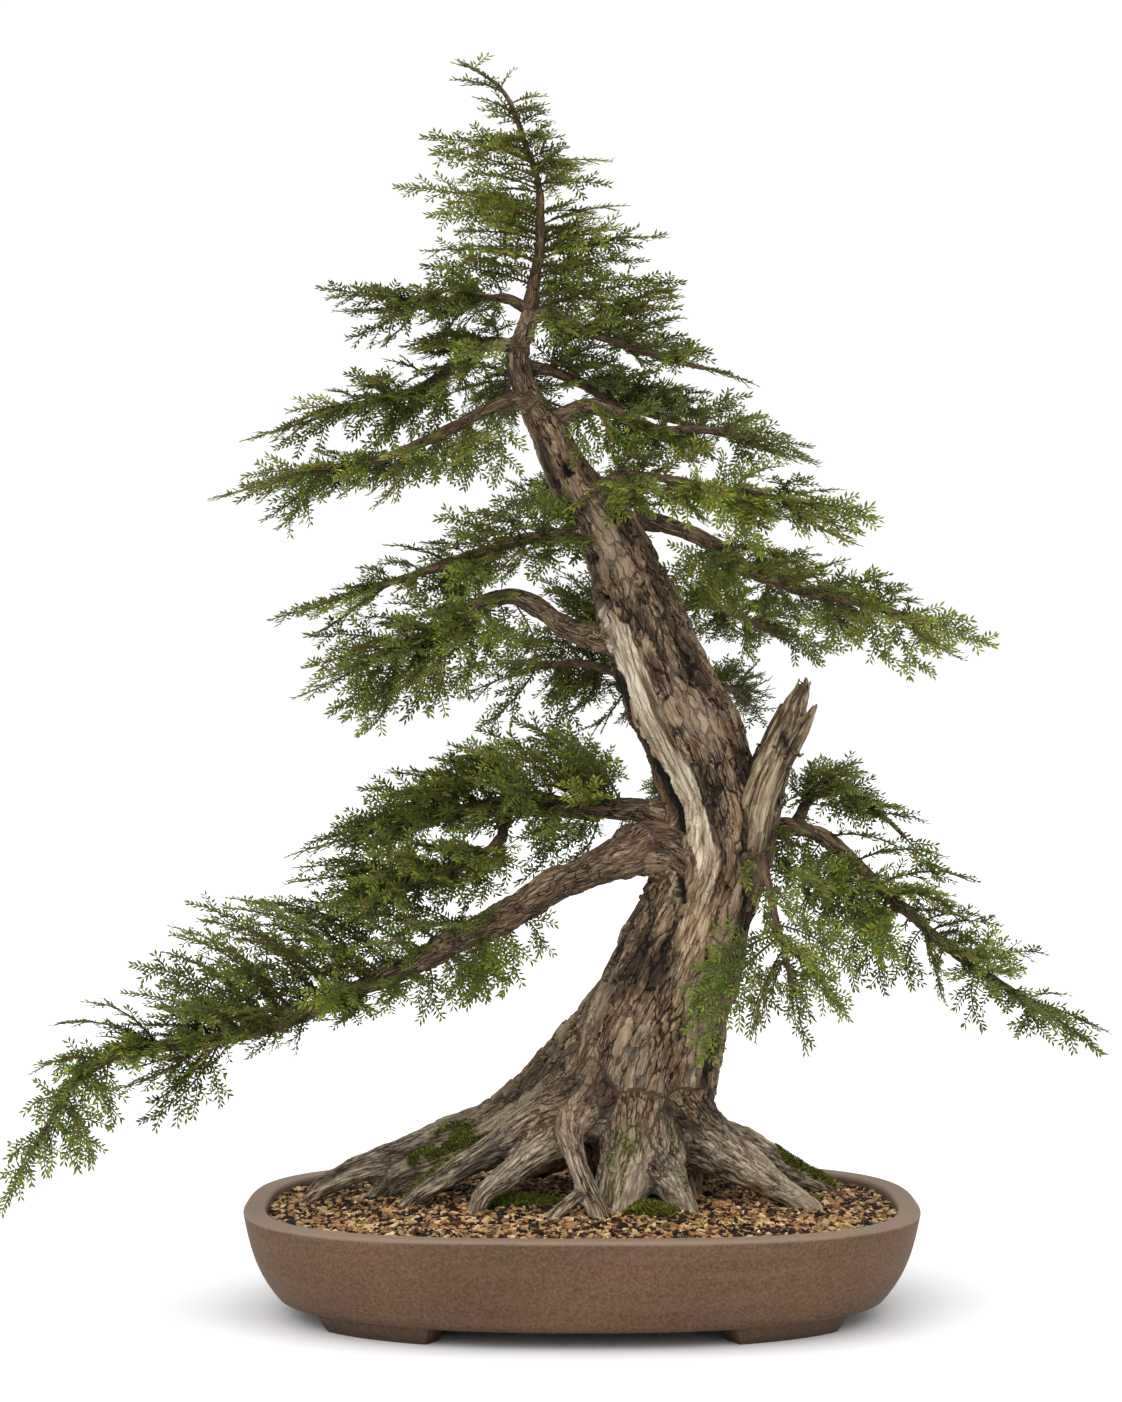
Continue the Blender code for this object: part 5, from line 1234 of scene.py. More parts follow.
def deadwood(places, normals, flow, grain):
    """How far each point belongs to the bare strip, the stain, the crack, the knot and the hollow, with the
    lips that the bark has grown round them."""
    front = ease(-normals[:, 1], 0.05, 0.45)
    facing = ease(-normals[:, 1], -0.45, 0.05)
    edge_wave = 0.35 * rough(flow / np.array((0.0045, 0.0045, 0.030)), 70, 2)
    marks = {}
    away, _ = along_line(places, STRIP_LINE)
    marks["bare"] = (1 - ease(away + edge_wave, 0.70, 1.05)) * front
    marks["strip_lip"] = np.exp(-((away + edge_wave - 1.25) / 0.22) ** 2) * front
    away, _ = along_line(places, STAIN_LINE)
    marks["stain"] = (1 - ease(away + 1.8 * edge_wave, 0.25, 1.15)) * front
    away, side = along_line(places, CRACK_LINE)
    marks["split"] = (1 - ease(away + 1.5 * edge_wave, 0.5, 1.4)) * facing
    marks["split_lip"] = (np.exp(-((away - 1.9) / 0.4) ** 2) * facing * (side < 0)
                          * ease(places[:, 2], 0.375, 0.400))
    knot = np.hypot(places[:, 0] - KNOT[0], places[:, 2] - KNOT[1]) / KNOT[2]
    marks["knot_pit"] = (1 - ease(knot, 0.4, 1.0)) * front
    marks["knot_rim"] = np.exp(-((knot - 1.35) / 0.3) ** 2) * front
    hollow = np.hypot((places[:, 0] - HOLLOW[0]) / HOLLOW[2], (places[:, 2] - HOLLOW[1]) / HOLLOW[3])
    marks["hollow_pit"] = (1 - ease(hollow, 0.5, 1.1)) * front
    ridges = rough(flow / np.array((0.0065, 0.0065, 0.110)), 83, 2)
    height = marks["bare"] * (-0.0022 + 0.0008 * grain + 0.0016 * ridges) + 0.0011 * grain * marks["stain"]
    height += 0.0014 * marks["strip_lip"] - 0.0060 * marks["split"] + 0.0016 * marks["split_lip"]
    height += -0.009 * marks["knot_pit"] + 0.0030 * marks["knot_rim"] - 0.006 * marks["hollow_pit"]
    return marks, height


def root_moss(places, normals):
    """How mossy each point of the roots is: patches on their upper sides, at a few spots."""
    facing = ease(normals[:, 2], 0.05, 0.60)
    patchy = rough(places / 0.018, 90, 3)
    spots = [1 - ease(np.hypot((places[:, 0] - x) / half_x, (places[:, 1] - y) / half_y), 0.7, 1.1)
             for x, y, half_x, half_y in ROOT_MOSS]
    return (facing * ease(patchy, -0.40, 0.00) * (1 - ease(places[:, 2], 0.125, 0.160))
            * np.maximum.reduce(spots))


def make_trunk(finish, relief):
    limbs = Limbs([TRUNK_LINE, *root_heads(), *collar_lines()])
    mesh = trunk_skin(limbs)
    places, normals = mesh_places(mesh), mesh_normals(mesh)
    girth, margin, flow = limbs.read(places)
    clear = ease(margin, 0.0, 0.012)

    # Broad ridges and hollows that run down the lower trunk into the roots, and long furrows.
    low = 1 - ease(places[:, 2], 0.16, 0.36)
    thick = ease(girth, 0.010, 0.036)
    flute = rough(flow / np.array((0.024, 0.024, 0.30)), 60, 2)
    furrow = 1 - ease(np.abs(ripple(flow / np.array((0.019, 0.019, 0.120)), 40)), 0.0, 0.13)
    gnarl = rough(flow / np.array((0.012, 0.012, 0.050)), 64, 3)
    grit = rough(places / 0.007, 45, 2)
    grain = rough(flow / np.array((0.0024, 0.0024, 0.060)), 80, 2)
    height = (0.0046 * flute * thick * (0.35 + 0.65 * low) - 0.0030 * furrow * thick) * clear - 0.0012
    height += 0.0032 * gnarl * (0.25 + 0.75 * low) * ease(girth, 0.004, 0.016) * clear
    height += 0.0010 * grit
    marks, worn = deadwood(places, normals, flow, grain)
    height += worn
    set_places(mesh, places + normals * height[:, None])

    # What the relief and the finish need to know at each point. The finish paints shade where rise is low and
    # in the furrows and pits, and highlights where rise is high.
    pale = (1 - ease(places[:, 2], 0.120, 0.185)) * (1 - ease(girth, 0.018, 0.046))
    depth = np.clip(girth * 0.11, 0.0005, 0.0038) * (1 - marks["bare"]) * (1 - 0.55 * pale)
    depth *= ease(margin, 0.0, 0.005) * (1 - 0.6 * marks["stain"]) * (1 - marks["split"])
    write_attribute(mesh, "flow", flow)
    for name, values in (
            ("depth", depth), ("thin", 1 - ease(girth, 0.010, 0.026)), ("bare", marks["bare"]),
            ("stain", marks["stain"]), ("furrow", furrow * thick * clear), ("lip", marks["split_lip"]),
            ("moss", root_moss(places, normals)), ("pale", pale), ("join", 1 - ease(margin, 0.0002, 0.0016)),
            ("rise", ease(0.55 * flute + 0.75 * gnarl + 0.25 * grit, -0.75, 0.75)),
            ("pit", np.maximum.reduce([marks["split"], marks["knot_pit"], marks["hollow_pit"]]))):
        write_attribute(mesh, name, values)
    mesh = relief.grow("trunk_skin", mesh, Material=finish)
    mesh.shade_smooth()
    lower, upper = parted(mesh, TRUNK_PARTING)
    finish_piece("trunk_lower_and_roots", lower, "trunk_bark", ["trunk"])
    finish_piece("trunk_upper", upper, "trunk_bark", ["trunk"])
    return lower


def parted(mesh, level):
    """The mesh below the level and the mesh above it, each closed with a flat face."""
    halves = []
    for lower in (True, False):
        work = bmesh.new()
        work.from_mesh(mesh)
        every = work.verts[:] + work.edges[:] + work.faces[:]
        cut = bmesh.ops.bisect_plane(work, geom=every, plane_co=(0, 0, level), plane_no=(0, 0, 1),
                                     clear_outer=lower, clear_inner=not lower)
        rim = [item for item in cut["geom_cut"] if isinstance(item, bmesh.types.BMEdge)]
        bmesh.ops.triangle_fill(work, edges=rim, use_beauty=True)
        half = mesh.copy()
        work.to_mesh(half)
        work.free()
        halves.append(half)
    return halves


def bark_body(wood, thin, pale=None):
    """Plates of bark in several browns, with dark gaps between them."""
    flow = wood.attribute("flow", "Vector")
    inside, tone, along = bark_cells(wood, flow, thin)
    fibre = wood.streaks(flow, (420.0, 420.0, 45.0), 4.0, 0.6)
    flake = wood.streaks(flow, (300.0, 300.0, 105.0), 5.0, 0.68)
    cloud = wood.streaks(flow, (42.0, 42.0, 17.0), 3.0)
    mixed = wood.plus(wood.times(tone, 0.22),
                      wood.plus(wood.times(flake, 0.62), wood.times(cloud, 0.36)))
    mixed = wood.plus(mixed, wood.times(along, 0.10))
    body = wood.ramp(wood.times(mixed, 0.83), (0.33, shade(44, 31, 22)), (0.43, shade(79, 60, 43)),
                     (0.52, shade(112, 88, 65)), (0.62, shade(150, 126, 98)), (0.75, shade(190, 168, 138)))
    warm = wood.between(wood.streaks(flow, (110.0, 110.0, 26.0), 3.0), 0.56, 0.72)
    body = wood.mix(wood.times(warm, 0.45), body, shade(132, 94, 58))
    if pale is not None:
        streaks = wood.ramp(fibre, (0.38, shade(34, 26, 19)), (0.47, shade(108, 91, 71)),
                            (0.58, shade(216, 202, 178)))
        body = wood.mix(wood.times(pale, 0.66), body, streaks)
    wide = wood.streaks(flow, (75.0, 75.0, 24.0), 2.0)
    near = wood.minus(wood.plus(inside, wood.times(flake, 0.10)),
                     wood.times(wide, 0.14))
    gap = wood.between(near, -0.015, 0.062)
    seam = wood.streaks(flow, (150.0, 150.0, 16.0), 3.0, 0.55)
    seam = wood.sums("ABSOLUTE", wood.minus(seam, 0.5), 0.0)
    if pale is not None:
        gap = wood.sums("MAXIMUM", gap, wood.times(pale, 0.55))
        seam = wood.plus(seam, wood.minus(0.022, wood.times(pale, 0.022)))
    body = wood.mix(gap, wood.mix(0.84, body, shade(20, 14, 10)), body)
    body = wood.mix(wood.between(seam, 0.006, 0.030), wood.mix(0.85, body, shade(22, 16, 12)), body)
    edge = wood.times(wood.between(near, 0.050, 0.075), wood.between(near, 0.150, 0.085))
    body = wood.mix(wood.times(edge, 0.30), body, shade(176, 154, 124))
    hair = wood.streaks(flow, (900.0, 900.0, 70.0), 3.0, 0.6)
    body = wood.mix(wood.times(wood.between(hair, 0.50, 0.36), 0.62), body, shade(34, 25, 18))
    body = wood.mix(wood.times(wood.between(hair, 0.54, 0.68), 0.50), body, shade(198, 178, 148))
    relief = wood.plus(wood.times(flake, 0.9), wood.times(fibre, 0.5))
    relief = wood.plus(relief, wood.times(gap, 1.2))
    return flow, body, relief, fibre


def bark_finish():
    """Bark, bare wood, stain and moss, mixed by the numbers that the wood's mesh carries, with painted shade
    in the hollows, furrows and pits and painted highlights on the ridges.
    """
    wood = Finish("trunk bark", 0.86, 0.2)
    flow, body, relief, fibre = bark_body(wood, wood.attribute("thin"), wood.attribute("pale"))
    # Painted shade in the long furrows.
    body = wood.mix(wood.times(wood.attribute("furrow"), 0.70), body, shade(28, 20, 14))
    # Painted shade in the hollows and a painted highlight on the ridges, by how high the relief stands.
    rise = wood.attribute("rise")
    body = wood.mix(wood.times(wood.between(rise, 0.46, 0.05), 0.80), body, shade(32, 23, 17))
    body = wood.mix(wood.times(wood.between(rise, 0.58, 1.0), 0.38), body, shade(196, 178, 150))
    body = wood.mix(wood.times(wood.attribute("join"), 0.50), body, shade(96, 78, 59))
    stain_tone = wood.ramp(fibre, (0.34, shade(56, 43, 31)), (0.44, shade(112, 90, 64)),
                           (0.53, shade(164, 136, 100)), (0.64, shade(206, 186, 152)))
    body = wood.mix(wood.times(wood.attribute("stain"), 0.78), body, stain_tone)
    silver = wood.streaks(flow, (330.0, 330.0, 13.0), 5.0, 0.62)
    broad = wood.streaks(flow, (120.0, 120.0, 9.0), 3.0)
    silver = wood.plus(wood.times(silver, 0.62), wood.times(broad, 0.38))
    bone = wood.ramp(silver, (0.37, shade(64, 51, 39)), (0.44, shade(128, 110, 88)),
                     (0.50, shade(180, 164, 138)),
                     (0.57, shade(216, 204, 180)), (0.68, shade(206, 190, 162)), (0.78, shade(150, 126, 98)))
    bare = wood.between(wood.plus(wood.attribute("bare"), wood.times(fibre, 0.5)), 0.50, 0.85)
    body = wood.mix(bare, body, bone)
    body = wood.mix(wood.times(wood.attribute("lip"), 0.50), body, shade(176, 136, 90))
    # Painted shade: the crack, the knot's pit and the hollow are painted near black.
    body = wood.mix(wood.attribute("pit"), body, shade(20, 14, 10))
    green = wood.ramp(wood.noise(flow, 500.0, 3.0), (0.3, shade(52, 57, 20)), (0.6, shade(102, 106, 40)))
    body = wood.mix(wood.times(wood.attribute("moss"), 0.85), body, green)
    return wood.done(body, relief, 0.0013, 0.9)


def largest_part(mesh):
    """The mesh without any crumbs that have come loose from it."""
    work = bmesh.new()
    work.from_mesh(mesh)
    left, islands = set(work.verts), []
    while left:
        heap = [left.pop()]
        island = []
        while heap:
            vert = heap.pop()
            island.append(vert)
            near = [edge.other_vert(vert) for edge in vert.link_edges]
            fresh = [other for other in near if other in left]
            left.difference_update(fresh)
            heap += fresh
        islands.append(island)
    largest = max(islands, key=len)
    crumbs = [vert for island in islands if island is not largest for vert in island]
    bmesh.ops.delete(work, geom=crumbs, context="VERTS")
    work.to_mesh(mesh)
    work.free()
    return mesh


def make_snag(finish):
    """The broken stub: a bundle of splinters round three prongs, under one skin."""
    rng = random.Random(41)
    limbs = Limbs(SNAG_LINES, 0.003)
    parts = []
    for number in range(len(SNAG_LINES)):
        path = limbs.rows[limbs.which == number]
        parts.append(tube(path, 16))
    body = limbs.rows[limbs.which == 0]
    ahead, beside, over = carried_frames(body[:, :3])
    for _ in range(SPLINTERS):
        start = rng.randrange(4, len(body) - 14)
        length = rng.randrange(10, 26)
        end = min(len(body) - 1, start + length)
        turn, twist = rng.uniform(0, math.tau), rng.uniform(-0.5, 0.5)
        thick = rng.uniform(0.0016, 0.0040)
        rows = []
        for k in range(start, end + 1, 2):
            share = (k - start) / (end - start)
            at = turn + twist * share
            out = body[k, 3] * (0.80 + 0.28 * share) + 0.0015
            place = body[k, :3] + (beside[k] * math.cos(at) + over[k] * math.sin(at)) * out
            rows.append((*place, thick * (1.05 - share) ** 0.8))
        tip = np.array(rows[-1][:3]) + ahead[end] * rng.uniform(0.004, 0.016)
        rows.append((*tip, 0.0005))
        parts.append(tube(np.array(rows), 8))
    hook = smooth_path(STUB_HOOK, 0.003)
    parts.append(tube(hook, 10))
    mesh = largest_part(remeshed("snag_skin", parts, 0.0011, 2))
    places, normals = mesh_places(mesh), mesh_normals(mesh)
    girth, _, flow = limbs.read(places)
    ridge = 1 - np.abs(rough(flow / np.array((0.0062, 0.0062, 0.075)), 7, 3))
    split = 1 - ease(np.abs(ripple(flow / np.array((0.0088, 0.0088, 0.090)), 9)), 0.02, 0.22)
    fade = ease(girth, 0.002, 0.010)
    height = (0.0030 * (ridge - 0.75) - 0.0046 * split) * (0.35 + 0.65 * fade)
    set_places(mesh, places + normals * height[:, None])
    write_attribute(mesh, "flow", flow)
    write_attribute(mesh, "split", split * (0.4 + 0.6 * fade))
    write_attribute(mesh, "ridge", ridge)
    finish_piece("broken_stub", mesh, "trunk_bark", [], finish)


def snag_finish():
    wood = Finish("weathered splintered wood", 0.85, 0.2)
    flow = wood.attribute("flow", "Vector")
    grain = wood.streaks(flow, (520.0, 520.0, 22.0), 5.0, 0.65)
    broad = wood.streaks(flow, (90.0, 90.0, 12.0), 3.0)
    body = wood.ramp(wood.plus(wood.times(grain, 0.6), wood.times(broad, 0.4)),
                     (0.36, shade(26, 19, 14)), (0.44, shade(66, 53, 39)), (0.51, shade(112, 94, 71)),
                     (0.58, shade(164, 145, 116)), (0.69, shade(208, 195, 168)))
    # Painted shade: the splits are painted near black, where shade falls in them.
    body = wood.mix(wood.times(wood.attribute("split"), 0.92), body, shade(24, 17, 12))
    return wood.done(body, grain, 0.0012, 0.9)


def taper(share, base, tip):
    """The radius along a branch, with a collar where it leaves the trunk."""
    radius = base + (tip - base) * share**0.8
    return radius * (1 + 0.35 * np.maximum(0.0, 1 - share / 0.16) ** 2)


def make_branch(name, line, node, finish, relief, salt, radii=None):
    """One branch with its gnarls and bark."""
    widest = radii.max() if radii is not None else max(row[3] for row in line)
    sides = 26 if widest > 0.009 else 16 if widest > 0.005 else 12
    path = smooth_path(line, 0.0019 if widest > 0.007 else 0.0024)
    run = run_of(path)
    if radii is not None:
        path[:, 3] = np.interp(run / run[-1], np.linspace(0, 1, len(radii)), radii)
    wander = np.stack([ripple(np.stack([run / 0.028, 0 * run + k, 0 * run + salt], 1), 31 + k)
                       for k in range(3)], axis=1)
    hold = ease(run, 0.0, 0.02)
    path[:, :3] += wander * (path[:, 3] * 0.35 * hold)[:, None]
    path[:, 3] *= 1 + 0.13 * ripple(np.stack([run / 0.017, 0 * run, 0 * run + salt], 1), 35)
    turn = np.linspace(0, math.tau, sides, endpoint=False)
    count = len(path)
    girth = np.repeat(path[:, 3], sides)
    flow = np.stack([np.tile(np.cos(turn), count) * girth, np.tile(np.sin(turn), count) * girth,
                     np.repeat(run, sides)], axis=1)
    knob = 0.14 * girth * rough(flow / 0.010 + salt, 37, 2)
    places, faces = tube(path, sides, (girth + knob).reshape(count, sides))
    mesh = plain_mesh(name, places, faces)
    ends = np.zeros(2)
    for key, column in (("depth", np.clip(girth * 0.13, 0.0002, 0.0022)),
                        ("thin", 1 - ease(girth, 0.010, 0.026)),
                        ("young", 1 - ease(girth, 0.002, 0.008))):
        write_attribute(mesh, key, np.concatenate([column, ends + column[-1]]))
    write_attribute(mesh, "flow", np.concatenate([flow, [flow[0], flow[-1]]]) + salt * 1.3)
    mesh = relief.grow(name, mesh, Material=finish)
    mesh.shade_smooth()
    finish_piece(name, mesh, "branch_bark", [node])
    return path


def branch_finish():
    wood = Finish("branch bark", 0.86, 0.2)
    flow, body, relief, _ = bark_body(wood, wood.attribute("thin"))
    cloud = wood.streaks(flow, (160.0, 160.0, 60.0), 3.0)
    smooth = wood.ramp(cloud, (0.3, shade(62, 45, 34)), (0.7, shade(112, 87, 67)))
    body = wood.mix(0.24, body, shade(44, 32, 24))
    body = wood.mix(wood.times(wood.attribute("young"), 0.6), body, smooth)
    return wood.done(body, relief, 0.0010, 0.8)


# The foliage.

class Spray:
    """The twigs of one pad as thin lines, with what the needles need to know at each point."""

    def __init__(self):
        self.places, self.edges = [], []
        self.thick, self.fans, self.tones, self.ahead = [], [], [], []

    def add(self, line, thick, fan, tone):
        first = len(self.places)
        last = len(line) - 1
        for i, place in enumerate(line):
            share = i / last
            self.places.append(place)
            self.thick.append(thick[0] + (thick[1] - thick[0]) * share)
            self.fans.append(fan)
            self.tones.append(tone[0] + (tone[1] - tone[0]) * share)
            self.ahead.append(share)
        self.edges += [(first + i, first + i + 1) for i in range(last)]

    def mesh(self, name):
        made = bpy.data.meshes.new(name)
        made.from_pydata([tuple(place) for place in self.places], self.edges, [])
        for key, values in (("thick", self.thick), ("fan", [tuple(fan) for fan in self.fans]),
                            ("tone", self.tones), ("ahead", self.ahead)):
            write_attribute(made, key, np.array(values))
        return made


def bent_line(start, middle, end, spacing):
    """Points on a smooth bend from start to end that leans towards middle."""
    count = max(2, round((end - start).length / spacing))
    line = []
    for i in range(count + 1):
        t = i / count
        line.append(start * (1 - t) ** 2 + middle * (2 * t * (1 - t)) + end * t * t)
    return line


def leafy_twig(spray, line, fan, tone, rng, level, bare=0.0):
    """Adds a twig and its side twigs, which lie in its fan."""
    length = sum((b - a).length for a, b in zip(line, line[1:]))
    thick = {1: (0.0006 + 0.006 * length, 0.00045), 2: (0.00050, 0.00046), 3: (0.00040, 0.00042)}[level]
    spray.add(line, thick, fan, (tone, tone + 0.24))
    if level == 3 or length < 0.013:
        return
    gap = TWIG_GAPS[level]
    at, sign = max(bare * length, 0.004) + rng.uniform(0, gap), rng.choice((-1, 1))
    while at < length - 0.010:
        share = at / length
        k = min(int(share * (len(line) - 1)), len(line) - 2)
        part = share * (len(line) - 1) - k
        start = line[k].lerp(line[k + 1], part)
        way = (line[k + 1] - line[k]).normalized()
        side = fan.cross(way).normalized() * sign
        angle = math.radians(rng.uniform(*TWIG_SLANT))
        heading = (way * math.cos(angle) + side * math.sin(angle)).normalized()
        if level == 1:
            long = min(0.027, 0.32 * (length - at) + 0.007) * rng.uniform(0.7, 1.2)
        else:
            long = min(0.013, 0.42 * (length - at) + 0.0045) * rng.uniform(0.75, 1.15)
        droop = Vector((0, 0, -0.08 * long)) + fan * rng.uniform(-0.22, 0.20) * long
        end = start + heading * long + way * 0.10 * long + droop
        middle = start + heading * long * 0.5
        child_fan = (fan + way * rng.uniform(-0.2, 0.2) + side * rng.uniform(-0.35, 0.35)).normalized()
        side_twig = bent_line(start, middle, end, 0.006)
        leafy_twig(spray, side_twig, child_fan, tone + 0.06 * level, rng, level + 1)
        at += gap * rng.uniform(0.8, 1.2)
        sign = -sign


def fan_for(way, roll):
    """The direction square to a shoot that its fan faces, turned about the shoot by roll."""
    aim = UP if way.z > HANGING else Vector((0, -1, 0.25))
    level = aim - way * aim.dot(way)
    level = level.normalized() if level.length > 0.15 else way.orthogonal().normalized()
    return Quaternion(way, roll) @ level


def grow_shoot(spray, start, bend, end, rng, tone, roll):
    """One main shoot from the wood to its end, by way of a bend, which fans out."""
    line = bent_line(start, bend, end, 0.006)
    way = (line[-1] - line[-2]).normalized()
    reach = (end - start).length
    leafy_twig(spray, line, fan_for(way, rng.gauss(0, roll)), tone, rng, 1, 0.08 if reach < 0.05 else 0.16)


def pad_shoots(path, spec, rng):
    """Start, bend and end of every shoot of a pad: those that reach its outline, and those that fill it.
    Each leaves the wood at a slant and then runs on with the branch."""
    run = run_of(path)
    first = spec["bare"] * run[-1]
    ahead = carried_frames(path[:, :3])[0]
    tips = spec["tips"]
    shoots = []

    def add(x, z, spread):
        if path[-1, 1] > 0.08:
            spread = abs(spread)
        gap = np.hypot(path[:, 0] - x, path[:, 2] - z)
        near = int(np.argmin(gap))
        below = z < path[near, 2] - 0.008
        back = run[near] - (0.30 if below else 0.75) * gap[near] - rng.uniform(0.006, 0.022)
        k = min(int(np.searchsorted(run, max(back, first))), len(path) - 2)
        start = Vector(path[k, :3])
        end = Vector((x, path[near, 1] + spread, z))
        reach = (end - start).length
        if reach > 0.012:
            way = (Vector(ahead[near]) * 0.65 + (end - start) / reach * 0.55).normalized()
            shoots.append((start, end - way * 0.52 * reach, end))

    for x, z in tips:
        close = np.hypot(path[:, 0] - x, path[:, 2] - z).min() < 0.016
        add(x, z, (rng.uniform(-0.55, -0.20) if close else rng.uniform(-0.38, 0.38)) * spec["reach"])
    inner = [row for row in path[run >= first]]
    for _ in range(round(FILL * spec["fill"])):
        number, share = rng.randrange(len(tips)), rng.random()
        (ax, az), (bx, bz) = tips[number], tips[(number + 1) % len(tips)]
        wood = rng.choice(inner)
        out = rng.uniform(0.12, 0.95) ** 0.6
        if az + (bz - az) * share < wood[2]:
            out *= 0.75
        x = wood[0] + (ax + (bx - ax) * share - wood[0]) * out
        z = wood[2] + (az + (bz - az) * share - wood[2]) * out
        add(x, z, rng.uniform(0.15, 1.0) * rng.choice((-1, 1)) * spec["reach"])
    way, last = Vector(ahead[-1]), Vector(path[-1, :3])
    shoots.append((last - way * 0.004, last + way * 0.020, last + way * 0.040 + Vector((0, 0, -0.006))))
    return shoots


def needle_shape():
    """One flat needle, one unit long and one wide, with a fold along its top: four faces."""
    places = ((0.0, 0.0, 0.02), (1.0, 0.0, 0.0), (0.52, 0.5, -0.22), (0.52, -0.5, -0.22))
    mesh = plain_mesh("needle", places, [(0, 1, 2), (0, 3, 1), (0, 2, 3), (1, 3, 2)], smooth=False)
    write_attribute(mesh, "along", np.array((0.0, 1.0, 0.52, 0.52)))
    return helper_object("needle", mesh)


def spray_pattern():
    """Twigs round the lines, and needles in two ranks along them, with a few more that point ahead."""
    pattern = Pattern("needle sprays", Needle="Object", Leaf="Material", Twig="Material", Spacing="Float",
                      Length="Float", Width="Float", Seed="Int")
    given = pattern.given
    curve = pattern.add("GeometryNodeMeshToCurve", {"Mesh": given["Geometry"]}).outputs[0]
    ring = pattern.add("GeometryNodeCurvePrimitiveCircle", {"Resolution": 3, "Radius": 1.0}).outputs[0]
    coarse = pattern.add("GeometryNodeResampleCurve", {"Curve": curve, "Length": 0.0080},
                         mode="LENGTH").outputs[0]
    twigs = pattern.add("GeometryNodeCurveToMesh", {"Curve": coarse, "Profile Curve": ring, "Fill Caps": True,
                                                    "Scale": pattern.named("thick")}).outputs[0]
    spots = pattern.add("GeometryNodeCurveToPoints", {"Curve": curve, "Length": given["Spacing"]},
                        mode="LENGTH")
    fan, ahead = pattern.named("fan", "FLOAT_VECTOR"), pattern.named("ahead")
    way = spots.outputs["Tangent"]
    side = pattern.vectors("NORMALIZE", pattern.vectors("CROSS_PRODUCT", fan, way))
    lean = pattern.plus(pattern.times(pattern.sums("POWER", ahead, 5.0), 1.3), 0.52)
    shape = pattern.object_shape(given["Needle"])
    ranks = []
    for number, sign in enumerate((1.0, -1.0, 0.0)):
        salt = 20 * number
        jitter = pattern.vector(pattern.number(-0.22, 0.22, salt + 1), pattern.number(-0.22, 0.22, salt + 2),
                                pattern.number(-0.22, 0.22, salt + 3))
        forward = pattern.vectors("SCALE", way, scale=lean if sign else 0.9)
        out = pattern.vectors("SCALE", side, scale=sign)
        rise = pattern.vectors("SCALE", fan, scale=pattern.number(-0.25, 0.55, salt + 4) if sign
                               else pattern.number(0.2, 0.9, salt + 4))
        heading = pattern.vectors("ADD", pattern.vectors("ADD", forward, out),
                                  pattern.vectors("ADD", rise, jitter))
        turned = pattern.add("FunctionNodeAxesToRotation", {0: heading, 1: fan}, primary_axis="X",
                             secondary_axis="Z").outputs[0]
        long = pattern.times(given["Length"], pattern.number(0.70, 1.12, salt + 5))
        wide = pattern.times(given["Width"], pattern.number(0.80, 1.15, salt + 6))
        inputs = {"Points": spots.outputs["Points"], "Instance": shape, "Rotation": turned,
                  "Scale": pattern.vector(long, wide, wide)}
        if not sign:
            inputs["Selection"] = pattern.sums("LESS_THAN", pattern.number(0.0, 1.0, salt + 8), 0.16)
        rank = pattern.add("GeometryNodeInstanceOnPoints", inputs).outputs[0]
        tone = pattern.plus(pattern.named("tone"), pattern.number(-0.13, 0.13, salt + 7))
        ranks.append(pattern.store(rank, "tone", tone, "INSTANCE"))
    pattern.finish((pattern.together(ranks), given["Leaf"]), (twigs, given["Twig"]))
    return pattern


def map_needles(mesh):
    """Maps needles by their tone and length, upper side on the left, and twigs along the top edge."""
    vertex, face, corner = corner_data(mesh)
    tone = np.clip(read_attribute(mesh, "tone"), 0.0, 1.0)[vertex]
    along = read_attribute(mesh, "along")[vertex]
    kind = stored(mesh.polygons, "material_index", kind=np.int32)
    is_twig = (kind == [material.name for material in mesh.materials].index("twig bark"))[face]
    under = face % 4 >= 2
    across = np.where(is_twig, 0.02 + 0.90 * tone + 0.05 * (corner % 3 == 1),
                      0.02 + 0.44 * along + 0.50 * under)
    wobble = np.where(along > 0.9, 0.0, np.where(along < 0.1, 0.0, 0.02 * (corner - 1)))
    down = np.where(is_twig, 0.88 + 0.10 * (corner >= 2), 0.04 + 0.76 * tone + wobble)
    bake_map(mesh, across, down)


def needle_finish():
    leaf = Finish("living needles", 0.62, 0.14)
    across, down, _ = leaf.own_map()
    top = leaf.ramp(leaf.between(down, 0.04, 0.80), (0.0, shade(22, 33, 5)), (0.26, shade(45, 62, 11)),
                    (0.50, shade(78, 97, 21)), (0.76, shade(128, 142, 42)), (1.0, shade(186, 188, 82)))
    under = leaf.mix(0.30, top, shade(88, 104, 54))
    is_under = leaf.between(across, 0.47, 0.50)
    along = leaf.between(leaf.minus(across, leaf.times(is_under, 0.5)), 0.02, 0.46)
    body = leaf.mix(is_under, top, under)
    tip = leaf.mix(leaf.times(along, 0.35), body, leaf.mix(0.5, body, shade(150, 152, 84)))
    return leaf.done(tip)


def twig_finish():
    twig = Finish("twig bark", 0.8, 0.2)
    body = twig.ramp(twig.own_map()[0], (0.05, shade(60, 45, 31)), (0.35, shade(90, 66, 44)),
                     (0.60, shade(124, 92, 56)), (0.90, shade(168, 112, 62)))
    return twig.done(body)


